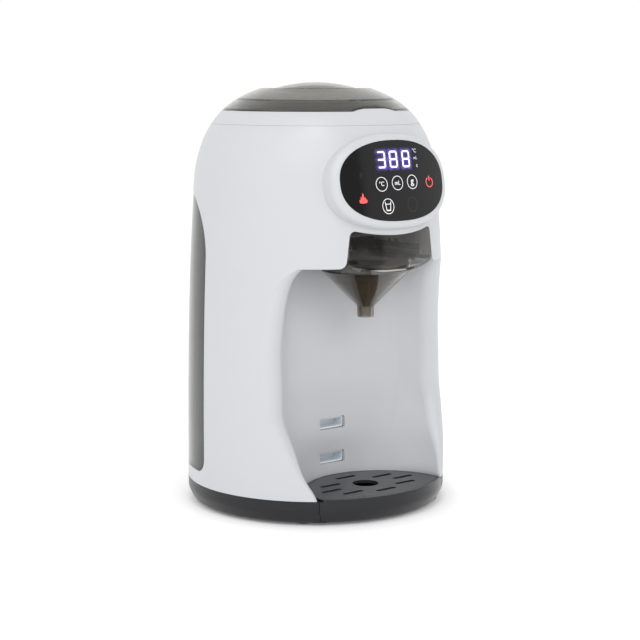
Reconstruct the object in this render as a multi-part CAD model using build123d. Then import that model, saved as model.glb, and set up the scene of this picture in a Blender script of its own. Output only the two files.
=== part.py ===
from build123d import *
import os
from math import acos, cos, hypot, pi, radians, sin, sqrt

# Baby formula maker: a round counter-top machine with a bottle bay at the front, a powder
# container under a domed lid on top, and a lift-out water tank at the back.
# Millimetres, +Z up, -Y is the front. The origin is on the body's axis, on the table.

# ---- clearances ------------------------------------------------------------------------
gap = 0.3             # between neighbours that stay together
slide_gap = 0.4       # between pieces that slide past each other
shaft_clear = 0.05    # radial, between a shaft and its bush
seam_gap = 0.12       # between the shell and its collar

# ---- body ------------------------------------------------------------------------------
body_r = 101.2        # radius at the white shell's lower edge
body_taper = 6.5      # how much narrower the shell is at the shoulder
shoulder_z = 247.0    # the dome starts here
seam_z = 295.2        # joint between the shell and its top collar
lid_edge_z = 305.5    # lower edge of the lid
lid_flat_z = 322.0    # flat of the lid, beside the grip
dome_gentle = 33.0    # how far the dome's side leans in
dome_steep = 19.0     # how far its top turns in on top of that
shell_wall = 2.5
base_top_z = 19.6     # joint between the black base and the white shell
boss_r = 4.5          # bosses that the screws go into
pilot_r = 1.4         # their holes
screw_r = 1.3
screw_head_r = 3.0
screw_head_h = 1.8

# ---- bottle bay ------------------------------------------------------------------------
bay_floor_z = 21.5
bay_ceiling_z = 192.0
bay_back_y = -20.3
bay_side_y = -44.0    # middle of the back's curve, from front to back
nose_break = 0.5      # how far the walls' rounded front edges cut into the outer face
bay_toe = 1.2         # how far the foot of the back wall comes forward to the tray
bay_toe_h = 9.0
# The side walls at each height: centre X and Y of the rounded front edge, the turn at which
# the wall leaves it, half width of the back's curve, X of the ridge where the wall meets that
# curve, and the wall's turn there.
bay_levels = [
    (19.0, 63.2, -77.8, 0.0, 41.6, 34.8, 55.3),
    (bay_floor_z, 63.9, -76.2, 2.0, 42.4, 35.5, 55.3),
    (30.0, 67.9, -71.0, 8.0, 45.0, 38.4, 55.0),
    (45.0, 73.2, -61.0, 18.0, 50.0, 45.2, 54.8),
    (65.0, 77.4, -49.0, 28.0, 57.0, 53.5, 54.0),
    (90.0, 79.3, -38.5, 36.0, 63.0, 57.5, 52.0),
    (110.0, 79.4, -37.6, 39.0, 63.0, 56.5, 52.7),
    (130.0, 79.2, -37.0, 39.0, 62.2, 55.5, 53.1),
    (160.0, 77.2, -39.8, 38.0, 61.0, 54.4, 53.0),
    (178.0, 75.0, -46.5, 36.0, 60.0, 53.5, 52.9),
    (bay_ceiling_z, 69.0, -63.0, 30.0, 58.5, 52.0, 52.7),
]
pocket_w = 25.0
pocket_h = 9.2
pocket_low_zs = [29.5, 57.0]    # lower edges of the two pockets in the back wall
pocket_depth = 13.0
pocket_wall = 1.2
pocket_set_back = 1.8    # of the inserts behind the wall's face
pocket_edge_r = 1.2

# ---- nose pad and display --------------------------------------------------------------
panel_z = 255.3
panel_y = -95.5
panel_half_w = 49.9
panel_half_h = 29.8
panel_power = 2.35    # exponent of its rounded outline
panel_lean = 10.4     # degrees, top leaning back
panel_bend_r = 227.7
panel_t = 2.0
pad_rim = 5.5
pad_edge_r = 4.6
pad_depth = 30.0
panel_margin = 3.5    # ledge that the panel is glued to
frame_t = 1.8
board_t = 1.6
board_depth = 8.0     # board's face below the panel's face
led_w = 38.0
led_h = 13.6
led_y = 15.1
# the touch symbols, from the panel's middle
touch_places = [(-15, -2), (0, -2), (15, -2), (33, -2), (-32, -6), (-12, -16)]

# ---- water tank ------------------------------------------------------------------------
tank_front_y = 11.9
tank_low_z = 30.5
tank_high_z = 244.0
tank_low_r = 10.0
tank_high_r = 49.0
tank_wall = 2.5
bay_liner_t = 2.0
port_x = -31.0
port_z = 45.0
valve_r = 6.0
valve_travel = 4.0
cap_r = 15.0
cap_y = 75.5
float_x = 30.0
float_y = 29.0
float_r = 7.0
float_h = 14.0
float_travel = 22.0
float_post_r = 2.5
lining_rear_y = tank_front_y - slide_gap
lining_front_y = lining_rear_y - bay_liner_t     # the works stand against this face

# ---- powder container, lid -------------------------------------------------------------
container_r = 64.5
container_wall = 2.0
container_low_z = 249.8
container_flange_r = 68.6
container_flange_t = 1.9
deck_t = 2.5
lid_wall = 2.2
lid_plug_r = 61.6
lid_plug_low_z = 298.5
lid_plug_t = 2.0
seal_depth = 1.2
grip_len = 80.0       # the grip's crown runs out into the lid's flat at these
grip_w = 30.0
grip_top_z = 326.5
grip_sink = 0.4       # how far its edges lie under the flat
notch_half_w = 20.0
notch_h = 2.8
tab_t = 1.9
outlet_y = -45.0
outlet_r = 7.5
dose_disc_r = 58.0
dose_disc_t = 3.2
dose_pockets = 12
hub_r = 7.4
scraper_z = container_low_z + container_wall + dose_disc_t + 1.2    # underside of the outlet's cover
scraper_t = 2.0
scraper_posts = [(22.0, -57.5), (-22.0, -57.5)]
paddle_half_t = 1.6
paddle_h = 5.0
riser_w = 4.5
riser_h = 26.0
deck_low_z = container_low_z - gap - deck_t
deck_front_y = -74.0   # room in front of the deck for the display
deck_posts = [(62.0, -40.0), (-62.0, -40.0)]
deck_rear_posts = [(45.0, 68.0), (-45.0, 68.0)]

# ---- drive -----------------------------------------------------------------------------
gear_module = 1.0
gear_teeth = 48
pinion_teeth = 12
gear_low_z = 236.0
gear_t = 6.0
gear_backlash = 0.35
drive_shaft_r = 3.0
hex_r = 5.0
bracket_t = 2.5
bracket_z = 231.0
motor_r = 11.5
motor_len = 28.0
motor_turn = 196.0    # degrees, where the pinion stands around the gear
bush_r = 6.0
bracket_posts = [(-42.0, -24.0), (27.0, -24.0), (27.0, 14.0), (-46.0, 6.0)]

# ---- funnel ----------------------------------------------------------------------------
funnel_y = -60.3
cone_r = 34.0
cone_top_z = 186.1
spout_r = 6.6
spout_tip_z = 150.5
funnel_wall = 2.0
funnel_neck_top_z = 197.0
rail_w = 4.9
rail_t = 2.4
cover_half_w_low = 41.5
cover_half_w_high = 38.5
cover_low_z = 192.3
cover_mid_z = 215.0
cover_corner_z = 219.6
cover_t = 2.4
cover_corner_r = 6.0
cover_top_r = 3.5
lip_slope = 0.5       # of the lip between the cover and the cone
lip_t = 2.0
recess_top_z = 213.5
recess_rear_y = -24.0
nozzle_y = -36.0
nozzle_r = 4.6
nozzle_top_z = recess_top_z + shell_wall + 10.0
nozzle_nipple_z = nozzle_top_z - 4.5
chute_top_r = 9.0
chute_wall = 1.6
chute_low_y = funnel_y + 2.0

# ---- base and drip tray ----------------------------------------------------------------
foot_r = 8.0
foot_ring_r = 82.0
foot_turns = [45, 135, 225, 315]
boss_ring_r = 86.0
boss_turns = [-28, 10, 70, 110, 170, 208]
boss_top_z = tank_low_z - slide_gap - bay_liner_t - gap
vent_rows = [8.0, 14.0, 20.0, 26.0, 32.0]
vent_half_len = 18.0
vent_half_w = 1.2
inlet_w = 22.0
inlet_h = 11.0
inlet_low_z = 5.5
inlet_depth = 14.0
socket_w = 16.6
socket_h = 8.4
pin_x = 4.3
pin_r = 1.15
pan_low_z = 1.5
pan_floor_t = 2.5
pan_inset = 4.8
pan_bend_h = 12.0
pan_front_y = -79.5     # the pan ends here, beside the tray
pan_wall = 2.5
tray_half_w = 61.3
tray_arc_r = 59.0
tray_arc_y = -81.5
tray_wall = 2.2
tray_top_z = 20.9
tray_floor_z = 4.3
grate_t = 2.5
drain_r = 10.1
drain_y = -61.05
slot_half_len = 9.7
slot_w = 4.2
slot_places = [(0.0, -37.0), (0.0, -85.2), (26.1, -50.3), (-26.1, -50.3),
               (35.9, -63.6), (-35.9, -63.6), (26.3, -77.5), (-26.3, -77.5)]

# ---- water path ------------------------------------------------------------------------
works_y = -4.0        # middle of the space between the bay and the tank
boiler_x = 38.0
boiler_r = 11.0
boiler_low_z = 66.0
boiler_high_z = 158.0
pump_x = -62.0
pump_r = 12.0
pump_low_z = 36.0
pump_h = 22.0
pump_motor_len = 36.0
hose_r = 3.6
nipple_r = 2.3
hose_bore_r = nipple_r + shaft_clear
nipple_len = 5.0
nipple_hole_r = 1.2
pump_shaft_r = 1.5
pump_inlet_z = port_z - 2.5
pump_outlet_z = pump_low_z + pump_h - 6.0
boiler_inlet_z = boiler_low_z + 12.0

# ---- boards ----------------------------------------------------------------------------
board_x0 = -44.0
board_x1 = 18.0
board_z0 = 92.0
board_z1 = 176.0
board_stand = 5.0     # from the lining to the board's back
board_hole_in = 4.0
# parts on the main board: left, right, low, high, how far they stand out
main_board_parts = [(-36, -18, 150, 166, 9), (-14, 2, 150, 168, 11), (4, 14, 100, 122, 8),
                    (-38, -14, 98, 112, 6), (-34, -22, 120, 132, 3), (-12, 6, 126, 138, 2)]
# parts on the power board: left, right, front, rear, height
power_board_parts = [(-32, -12, 42, 60, 8), (-6, 8, 40, 58, 9), (14, 26, 42, 54, 7)]
power_board_half_w = 38.0
power_board_front_y = 35.0
power_board_rear_y = 73.0
power_board_stand = 2.0
power_post_in = 4.5

far = 160.0           # beyond the outside of the body
overlap = 1.0         # how far mirrored halves run past the middle


# ---- shapes used again and again -------------------------------------------------------
def body_radius(z):
    """Outer radius of the body at a height."""
    low_part = min(max((z - base_top_z) / (shoulder_z - base_top_z), 0.0), 1.0)
    high_part = max((z - shoulder_z) / (lid_flat_z - shoulder_z), 0.0)
    dome = dome_gentle * high_part ** 2 + dome_steep * high_part ** 8
    return body_r - body_taper * low_part ** 2.5 - dome


def body_curve(low, high, inset=0.0, steps=14):
    """Points up the body's side, moved inwards at right angles to it."""
    points = []
    for i in range(steps + 1):
        z = low + (high - low) * i / steps
        slope = body_radius(z + 0.5) - body_radius(z - 0.5)
        length = hypot(1.0, slope)
        points.append((body_radius(z) - inset / length, z + inset * slope / length))
    return points


def turned(points_up, low, high):
    """Solid turned about Z, inside a smooth side curve."""
    side = Spline(points_up)
    first = points_up[0]
    last = points_up[-1]
    outline = [
        Line((0, low), (first[0], low)),
        side,
        Line((last[0], high), (0, high)),
        Line((0, high), (0, low)),
    ]
    if abs(first[1] - low) > 1e-9:
        outline.append(Line((first[0], low), first))
    if abs(last[1] - high) > 1e-9:
        outline.append(Line(last, (last[0], high)))
    return revolve(Plane.XZ * make_face(outline), Axis.Z)


def body_solid(low, high, inset=0.0):
    points = body_curve(low, high, inset)
    return turned(points, points[0][1], points[-1][1])


def turned_polygon(*points):
    """Solid turned about Z from (radius, height) corners."""
    return revolve(Plane.XZ * make_face(Polyline(*points, close=True)), Axis.Z)


def post(x, y, low, high, r, hole_r=0.0):
    solid = Pos(x, y, (low + high) / 2) * Cylinder(r, high - low)
    if hole_r:
        solid -= Pos(x, y, (low + high) / 2) * Cylinder(hole_r, high - low + 2)
    return solid


def rod_y(x, z, front, rear, r):
    """Round bar along Y."""
    return Pos(x, (front + rear) / 2, z) * Rot(90, 0, 0) * Cylinder(r, rear - front)


def rod_x(y, z, left, right, r):
    """Round bar along X."""
    return Pos((left + right) / 2, y, z) * Rot(0, 90, 0) * Cylinder(r, right - left)


def block(x0, x1, y0, y1, z0, z1):
    return Pos((x0 + x1) / 2, (y0 + y1) / 2, (z0 + z1) / 2) * Box(x1 - x0, y1 - y0, z1 - z0)


def rounded_block(x0, x1, y0, y1, z0, z1, r):
    """Box with its four upright edges rounded."""
    plan = Pos((x0 + x1) / 2, (y0 + y1) / 2) * RectangleRounded(x1 - x0, y1 - y0, r)
    return extrude(Plane.XY.offset(z0) * plan, amount=z1 - z0)


def group(solids):
    return Compound(children=list(solids))


def save(solid, name):
    export_step(solid, f"parts/{name}.step")


# ---- the bottle bay --------------------------------------------------------------------
def nose_radius(level):
    """Radius of the rounded front edge of a side wall, and its front-most Y."""
    z, x, y = level[:3]
    r = body_radius(z) - hypot(x, y) + nose_break
    return r, y - r


def back_and_side(level, wall):
    """Right half of the bay's back, and the side wall from its front edge to the ridge."""
    z, x, y, leaving_turn, half_w, ridge_x, ridge_turn = level
    r = nose_radius(level)[0] - wall
    above_floor = max(z - bay_floor_z, 0.0)
    toe = bay_toe * max(1 - above_floor / bay_toe_h, 0.0) ** 2
    half_deep = bay_back_y - bay_side_y + wall - toe
    first = acos(ridge_x / half_w)
    points = []
    for i in range(5):
        turn = first + (pi / 2 - first) * i / 4
        points.append(((half_w + wall) * cos(turn), bay_side_y + half_deep * sin(turn)))
    from_ridge = (-(half_w + wall) * sin(first), half_deep * cos(first))
    back = Spline(points, tangents=[from_ridge, (-1, 0)])
    start = (x - r * cos(radians(leaving_turn)), y - r * sin(radians(leaving_turn)))
    leaving = (-sin(radians(leaving_turn)), cos(radians(leaving_turn)))
    arriving = (-sin(radians(ridge_turn)), cos(radians(ridge_turn)))
    side = Spline([start, points[0]], tangents=[leaving, arriving])
    return start, side, back, bay_side_y + half_deep


def bay_section(level):
    """Right half of the bay's outline at one height, with all that lies in front of the side wall."""
    z, x, y, leaving_turn = level[:4]
    r, front_y = nose_radius(level)
    reach = (hypot(x, y) + r) / hypot(x, y)
    outer = (x * reach, y * reach)
    away = (x * 1.5, y * 1.5)
    front = (x, front_y)
    outer_turn = (x + r * sin(radians(25)), y - r * cos(radians(25)))
    half_way = radians(45 + leaving_turn / 2)
    inner_turn = (x - r * cos(half_way), y - r * sin(half_way))
    start, side, back, back_y = back_and_side(level, 0.0)
    edges = [
        Line((-overlap, -far), (far, -far)),
        Line((far, -far), away),
        Line(away, outer),
        ThreePointArc(outer, outer_turn, front),
        ThreePointArc(front, inner_turn, start),
        side,
        back,
        Line((0, back_y), (-overlap, back_y)),
        Line((-overlap, back_y), (-overlap, -far)),
    ]
    return Plane.XY.offset(z) * make_face(edges)


def wall_section(level):
    """The same half outline with the wall's thickness added, without the rounded front edge."""
    start, side, back, back_y = back_and_side(level, shell_wall)
    edges = [
        Line((-overlap, -far), (start[0], -far)),
        Line((start[0], -far), start),
        side,
        back,
        Line((0, back_y), (-overlap, back_y)),
        Line((-overlap, back_y), (-overlap, -far)),
    ]
    return Plane.XY.offset(level[0]) * make_face(edges)


def both_halves(half):
    return half + mirror(half, Plane.YZ)


def bay_space():
    """Everything that is cut away for the bottle."""
    room = both_halves(loft([bay_section(level) for level in bay_levels]))
    return room + tray_space(slide_gap, pan_low_z, bay_floor_z + 0.5)


def bay_space_with_wall():
    """The same space with the wall's thickness around it, to keep the hollow body clear of it."""
    sections = [wall_section(level) for level in bay_levels]
    grown = both_halves(loft(sections))
    grown += both_halves(extrude(sections[-1], amount=shell_wall))
    grown += both_halves(extrude(sections[0], amount=-bay_floor_z))
    fronts = [(-far, 0.0)]
    fronts.append((nose_radius(bay_levels[0])[1] + 4.0, 0.0))
    for level in bay_levels:
        r, front_y = nose_radius(level)
        fronts.append((front_y + max(r, 2.0) + 1.5, level[0]))
    fronts.append((fronts[-1][0], bay_ceiling_z + shell_wall))
    fronts.append((-far, bay_ceiling_z + shell_wall))
    ahead = extrude(Plane.YZ * make_face(Polyline(*fronts, close=True)), amount=far, both=True)
    return grown + ahead


# ---- outlines of the display -----------------------------------------------------------
display_plane = Plane(
    origin=(0, panel_y, panel_z),
    x_dir=(1, 0, 0),
    z_dir=(0, -cos(radians(panel_lean)), sin(radians(panel_lean))),
)


def display_outline(half_w, half_h):
    """Rounded outline between an oval and a rectangle."""
    points = []
    for i in range(32):
        turn = 2 * pi * i / 32
        across = abs(cos(turn)) ** (2 / panel_power)
        up = abs(sin(turn)) ** (2 / panel_power)
        points.append((half_w * across * (1 if cos(turn) >= 0 else -1),
                       half_h * up * (1 if sin(turn) >= 0 else -1)))
    return make_face(Spline(points, periodic=True))


def display_slab(half_w, half_h, top, bottom):
    """Curved slab of the display's outline, between two depths below its face."""
    deepest = bottom + half_w ** 2 / panel_bend_r
    outline = display_plane.offset(-deepest) * display_outline(half_w, half_h)
    block_of_it = extrude(outline, amount=deepest + 20)
    return (block_of_it & display_drum(top)) - display_drum(bottom, 5 * pad_depth)


def display_drum(depth, length=4 * pad_depth):
    """Upright drum that the panel's curved face lies on, at a depth below that face."""
    axis = display_plane * Pos(0, 0, -panel_bend_r) * Rot(90, 0, 0)
    return axis * Cylinder(panel_bend_r - depth, length)


def flat_slab(half_w, half_h, top, bottom):
    """Flat slab of the display's outline, square to its middle."""
    return extrude(display_plane.offset(-bottom) * display_outline(half_w, half_h), amount=bottom - top)


def nose_pad():
    half_w = panel_half_w + pad_rim
    half_h = panel_half_h + pad_rim
    pad = extrude(display_plane.offset(-pad_depth) * display_outline(half_w, half_h), amount=pad_depth + 10)
    pad = pad & display_drum(0.0)
    rim = [e for e in pad.edges() if e.center().Y < panel_y + pad_depth / 2 and e.length > 100]
    return fillet(rim[:1], pad_edge_r)


# ---- outlines of the tank --------------------------------------------------------------
def tank_side(grow):
    """Side view of the tank, open to the back, grown by a margin."""
    front = tank_front_y - grow
    low = tank_low_z - grow
    high = tank_high_z + grow
    plan = Pos((front + far) / 2, (low + high) / 2) * Rectangle(far - front, high - low)
    corners = plan.vertices().group_by(Axis.X)[0].sort_by(Axis.Y)
    plan = fillet(corners[:1], tank_low_r + grow)
    corners = plan.vertices().sort_by(Axis.Y)[-2:]
    plan = fillet(corners.sort_by(Axis.X)[:1], tank_high_r + grow)
    return extrude(Plane.YZ * plan, amount=far, both=True)


# ---- outlines of the funnel ------------------------------------------------------------
def cover_prism(grow, flared):
    """Outline of the funnel's front cover, run straight back from the front.

    The opening's lower corners sweep outwards, and the cover's own are rounded."""
    low_w = cover_half_w_low + grow
    high_w = cover_half_w_high + grow
    low = cover_low_z - grow
    high = cover_corner_z + grow
    middle = cover_mid_z + grow
    sag = high - middle
    bow_r = (high_w ** 2 + sag ** 2) / (2 * sag)
    on_bow = (high_w / 2, middle + bow_r - sqrt(bow_r ** 2 - high_w ** 2 / 4))
    flare = cover_corner_r * (1 - cos(radians(45)))
    if flared:
        side = [
            Line((0, low), (low_w + cover_corner_r, low)),
            ThreePointArc((low_w + cover_corner_r, low), (low_w + flare, low + flare),
                          (low_w, low + cover_corner_r)),
            Line((low_w, low + cover_corner_r), (high_w, high)),
        ]
    else:
        side = [Line((0, low), (low_w, low)), Line((low_w, low), (high_w, high))]
    bow = [ThreePointArc((high_w, high), on_bow, (0, middle)), Line((0, middle), (0, low))]
    plan = make_face(side + bow)
    outer = plan.vertices().sort_by(Axis.X)
    top = [v for v in outer if abs(v.X - high_w) < 1e-6 and abs(v.Y - high) < 1e-6]
    plan = fillet(top, cover_top_r + grow)
    if not flared:
        low_corner = [v for v in plan.vertices() if abs(v.X - low_w) < 1e-6]
        plan = fillet(low_corner, cover_corner_r)
    front = Plane(origin=(0, -body_r - 20, 0), x_dir=(1, 0, 0), z_dir=(0, -1, 0))
    return both_halves(extrude(front * plan, amount=-45))


def lip_cone(lift):
    """All that lies under the flat cone around the funnel's rim, or under it lifted."""
    reach = 3 * cone_r
    edge_z = cone_top_z + lift
    high_z = edge_z + (reach - cone_r) * lip_slope
    corners = [(0, edge_z), (cone_r, edge_z), (reach, high_z), (reach, edge_z - far), (0, edge_z - far)]
    return Pos(0, funnel_y, 0) * turned_polygon(*corners)


# ---- outlines of the tray --------------------------------------------------------------
def tray_space(grow, low, high):
    """Lens-shaped space of the drip tray."""
    disc = post(0, tray_arc_y, low, high, tray_arc_r + grow)
    front = block(-tray_half_w - grow, tray_half_w + grow, -body_r - 10, tray_arc_y, low, high)
    return disc + front


def tray_body(inset, low, high):
    """Lens between the tray's rear arc and the body's front, less a margin."""
    disc = post(0, tray_arc_y, low, high, tray_arc_r - inset)
    return disc & post(0, 0, low, high, body_r - inset)


# ---- pieces of the housing -------------------------------------------------------------
def funnel_recess(grow):
    """Space in the head that the funnel's neck and rails slide in."""
    neck_half = cone_r + 1.0 - grow
    rail_half = cone_r + rail_w + slide_gap + 0.2 + grow
    rail_low = bay_ceiling_z + shell_wall
    slot = block(-neck_half, neck_half, -far, recess_rear_y + grow, bay_ceiling_z - 1, rail_low + 0.01)
    room = block(-rail_half, rail_half, -far, recess_rear_y + grow, rail_low - grow, recess_top_z + grow)
    return slot + room


def outer_shell():
    outside = body_solid(base_top_z, seam_z) + nose_pad()
    hollow = body_solid(base_top_z - 1.0, seam_z + 2, shell_wall)
    hollow -= bay_space_with_wall()
    hollow -= funnel_recess(shell_wall)
    shell = outside - hollow - bay_space()
    shell -= funnel_recess(0.0)
    shell -= cover_prism(slide_gap, True)
    shell -= tank_side(slide_gap)
    shell -= display_slab(panel_half_w + 0.2, panel_half_h + 0.2, -12.0, panel_t + 0.1)
    shell -= flat_slab(panel_half_w - panel_margin, panel_half_h - panel_margin, -5.0, pad_depth + 4)
    for low_z in pocket_low_zs:
        shell -= pocket(low_z, 0.0, bay_side_y)
    for turn in boss_turns:
        shell += shell_boss(turn)
    for x, y in deck_posts:
        shell += post(x, y, bay_ceiling_z + shell_wall - 0.5, deck_low_z, boss_r, pilot_r)
    shell -= post(0, nozzle_y, recess_top_z - 1, recess_top_z + 5, nozzle_r + gap)
    shell -= chute_tube(chute_top_r + gap)
    return shell.solids().sort_by(SortBy.VOLUME)[-1]


def pocket(low_z, inset, front_y):
    """Room of one pocket in the bay's back wall, less a margin."""
    half = pocket_w / 2 - inset
    rear = bay_back_y + pocket_depth - inset
    room = block(-half, half, front_y, rear, low_z + inset, low_z + pocket_h - inset)
    return fillet(room.edges().filter_by(Axis.Y), pocket_edge_r)


def pocket_liner():
    """Two inserts that line the pockets, where a stand for small bottles hooks in."""
    front_y = bay_back_y + pocket_set_back
    return group(pocket(low_z, gap, front_y) - pocket(low_z, gap + pocket_wall, bay_side_y)
                 for low_z in pocket_low_zs)


def top_collar():
    """White ring above the seam that the lid sits on, with an arched tab at the front."""
    bore_r = container_r + 0.8
    ledge_z = lid_edge_z - gap - container_flange_t - 0.3
    low_z = seam_z - 2.7
    lip_r = body_radius(seam_z) - shell_wall * 1.3 - gap
    collar = body_solid(seam_z + seam_gap, lid_edge_z - gap)
    collar += post(0, 0, low_z, seam_z + 1.0, lip_r)
    collar -= post(0, 0, low_z - 1, lid_edge_z, bore_r)
    collar -= post(0, 0, ledge_z, lid_edge_z + 1, container_flange_r + gap)
    tab = body_solid(lid_edge_z - 2, lid_edge_z + notch_h)
    tab -= post(0, 0, lid_edge_z - 3, lid_edge_z + 9, body_radius(lid_edge_z) - tab_t)
    half = notch_half_w - slide_gap
    outline = [
        Line((-half, lid_edge_z - 1.5), (half, lid_edge_z - 1.5)),
        Line((half, lid_edge_z - 1.5), (half, lid_edge_z)),
        ThreePointArc((half, lid_edge_z), (0, lid_edge_z + notch_h - slide_gap), (-half, lid_edge_z)),
        Line((-half, lid_edge_z), (-half, lid_edge_z - 1.5)),
    ]
    front = Plane(origin=(0, -container_flange_r / 2, 0), x_dir=(1, 0, 0), z_dir=(0, -1, 0))
    return collar + (tab & extrude(front * make_face(outline), amount=far))


def base_solid(inset):
    """Outer form of the base, rounded in at the bottom, with its sides moved inwards."""
    r = body_r - inset
    low = pan_low_z
    bend_z = pan_low_z + pan_bend_h
    outline = [
        Line((0, low), (r - pan_inset - 4, low)),
        Spline([(r - pan_inset - 4, low), (r - 2.2, (low + bend_z) / 2 - 1.0), (r, bend_z)],
               tangents=[(1, 0), (0, 1)]),
        Line((r, bend_z), (r, base_top_z + 5)),
        Line((r, base_top_z + 5), (0, base_top_z + 5)),
        Line((0, base_top_z + 5), (0, low)),
    ]
    return revolve(Plane.XZ * make_face(outline), Axis.Z)


def base_pan():
    """Black pan under the body, open at the front for the drip tray."""
    top = base_top_z - gap
    pan = base_solid(0.0) & post(0, 0, 0, top, far)
    floor_top = pan_low_z + pan_floor_t
    pan -= post(0, 0, floor_top, top + 1, body_r - pan_wall - 2.0)
    slot = tray_space(slide_gap, floor_top, top + 1)
    pan += (tray_space(slide_gap + pan_wall, pan_low_z + 1, top) & post(0, 0, 0, 50, body_r - 4)) - slot
    pan -= slot
    apron = block(-tray_half_w - slide_gap, tray_half_w + slide_gap, -far, pan_front_y, 0, top + 1)
    pan -= apron - base_solid(tray_wall + slide_gap)
    for x, y in boss_places():
        pan += post(x, y, floor_top - 0.5, top, boss_r)
        pan -= post(x, y, -1, top + 1, screw_r + 0.4)
        pan -= post(x, y, -1, pan_low_z + 2.2, screw_head_r + 0.4)
    for x, y in feet_places():
        pan -= post(x, y, -1, pan_low_z + 1.0, foot_r + 0.1)
    for y in vent_rows:
        pan -= block(-vent_half_len, vent_half_len, y - vent_half_w, y + vent_half_w, -1, floor_top + 1)
    inlet_half = inlet_w / 2 + 0.2
    pan -= block(-inlet_half, inlet_half, body_r - 12, body_r + 5,
                 inlet_low_z - 0.2, inlet_low_z + inlet_h + 0.2)
    return pan.solids().sort_by(SortBy.VOLUME)[-1]


def ring_places(ring_r, turns):
    return [(ring_r * cos(radians(turn)), ring_r * sin(radians(turn))) for turn in turns]


def boss_places():
    return ring_places(boss_ring_r, boss_turns)


def feet_places():
    return ring_places(foot_ring_r, foot_turns)


def rubber_feet():
    top = pan_low_z + 1.0
    return group(Solid(post(x, y, 0, top, foot_r).wrapped) for x, y in feet_places())


def screw(x, y, head_z, length, up=1):
    """Pan-head screw; its shank runs up or down from the head."""
    top_z = head_z - screw_head_h * up
    tip_z = head_z + length * up
    head = post(x, y, min(head_z, top_z), max(head_z, top_z), screw_head_r)
    shank = post(x, y, min(head_z, tip_z), max(head_z, tip_z), screw_r)
    drive = post(x, y, top_z - 0.6, top_z + 0.4, 1.2)
    return head + shank - drive


def base_screws():
    return group(screw(x, y, pan_low_z + 2.2, boss_top_z - pan_low_z - 4.0) for x, y in boss_places())


def shell_boss(turn):
    """Boss that a base screw goes into, with a web to the shell's wall."""
    web = block(boss_ring_r, body_r - shell_wall / 2, -1.25, 1.25, base_top_z, boss_top_z)
    boss = post(boss_ring_r, 0, base_top_z, boss_top_z, boss_r) + web
    return Rot(0, 0, turn) * (boss - post(boss_ring_r, 0, base_top_z - 1, boss_top_z + 1, pilot_r))


def power_inlet():
    low = inlet_low_z
    rear = body_r - 2.6
    body = block(-inlet_w / 2, inlet_w / 2, rear - inlet_depth, rear, low, low + inlet_h)
    inlet = body - rounded_socket(rear)
    for x in (-pin_x, pin_x):
        inlet += rod_y(x, low + inlet_h / 2, rear - inlet_depth + 1.5, rear - 2.0, pin_r)
    return inlet


def rounded_socket(rear):
    middle = inlet_low_z + inlet_h / 2
    face = Plane(origin=(0, rear + 1, middle), x_dir=(1, 0, 0), z_dir=(0, -1, 0))
    return extrude(face * SlotOverall(socket_w, socket_h), amount=inlet_depth - 1.5)


# ---- works inside ----------------------------------------------------------------------
def tank_bay():
    """Lining that parts the tank from the works: front wall, floor and roof in one."""
    lining = tank_side(slide_gap + bay_liner_t) - tank_side(slide_gap)
    lining = lining & body_solid(tank_low_z - 6, tank_high_z + 6, shell_wall + gap)
    port = rod_y(port_x, port_z, tank_front_y - 6, tank_front_y + 3, valve_r + 1.0)
    lining -= port
    for x, y in deck_rear_posts:
        lining -= post(x, y, tank_high_z - 1, tank_high_z + 6, pilot_r)
    return lining.solids().sort_by(SortBy.VOLUME)[-1]


def tank_port():
    """Chamber behind the lining; its pin opens the tank's valve."""
    rear = lining_front_y
    chamber = block(port_x - 7, port_x + 7, works_y - 5, rear, port_z - 9, port_z + 3.0)
    chamber += rod_y(port_x, port_z, rear - 2, lining_rear_y, valve_r + 0.9)
    chamber -= rod_y(port_x, port_z, works_y - 2, tank_front_y + 1, 3.2)
    chamber += rod_y(port_x, port_z, works_y - 3, tank_front_y + tank_wall - 1.0, 1.2)
    chamber += rod_x(works_y, pump_inlet_z, port_x - 7 - nipple_len, port_x - 6, nipple_r)
    return chamber - rod_x(works_y, pump_inlet_z, port_x - 8 - nipple_len, port_x - 3, nipple_hole_r)


def powder_deck():
    """Round plate that the powder container stands on."""
    r = body_radius(deck_low_z + deck_t) - shell_wall - gap - 0.2
    deck = post(0, 0, deck_low_z, deck_low_z + deck_t, r)
    deck -= post(0, 0, deck_low_z - 1, container_low_z, bush_r + 0.02)
    deck -= post(0, outlet_y, deck_low_z - 1, container_low_z, chute_top_r - chute_wall)
    display_half = panel_half_w + pad_rim
    deck -= block(-display_half, display_half, -far, deck_front_y, deck_low_z - 1, container_low_z)
    for x, y in deck_posts + deck_rear_posts:
        deck -= post(x, y, deck_low_z - 1, container_low_z, screw_r + gap)
        deck -= post(x, y, deck_low_z + deck_t - 1.2, container_low_z, screw_head_r + gap)
    boss_low = tank_high_z + slide_gap + bay_liner_t
    for x, y in deck_rear_posts:
        deck += post(x, y, boss_low, deck_low_z, 4.0, screw_r + gap)
    for x, y in bracket_posts:
        deck += post(x, y, bracket_z + bracket_t, deck_low_z, 3.2)
    return deck


def deck_screws():
    head_z = deck_low_z + deck_t - 1.2
    screws = [screw(x, y, head_z, 9.0, up=-1) for x, y in deck_posts]
    screws += [screw(x, y, head_z, 4.0, up=-1) for x, y in deck_rear_posts]
    return group(screws)


def drive_bracket():
    """Plate under the gears: lower bearing of the shaft and seat of the motor."""
    plate = rounded_block(-52, 33, -30, 19, bracket_z, bracket_z + bracket_t, 5)
    plate -= post(0, 0, bracket_z - 1, bracket_z + bracket_t + 1, bush_r - 1 + 0.02)
    px, py = pinion_place()
    return plate - post(px, py, bracket_z - 1, bracket_z + bracket_t + 1, 3.0)


def pinion_place():
    distance = gear_module * (gear_teeth + pinion_teeth) / 2
    return distance * cos(radians(motor_turn)), distance * sin(radians(motor_turn))


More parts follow.
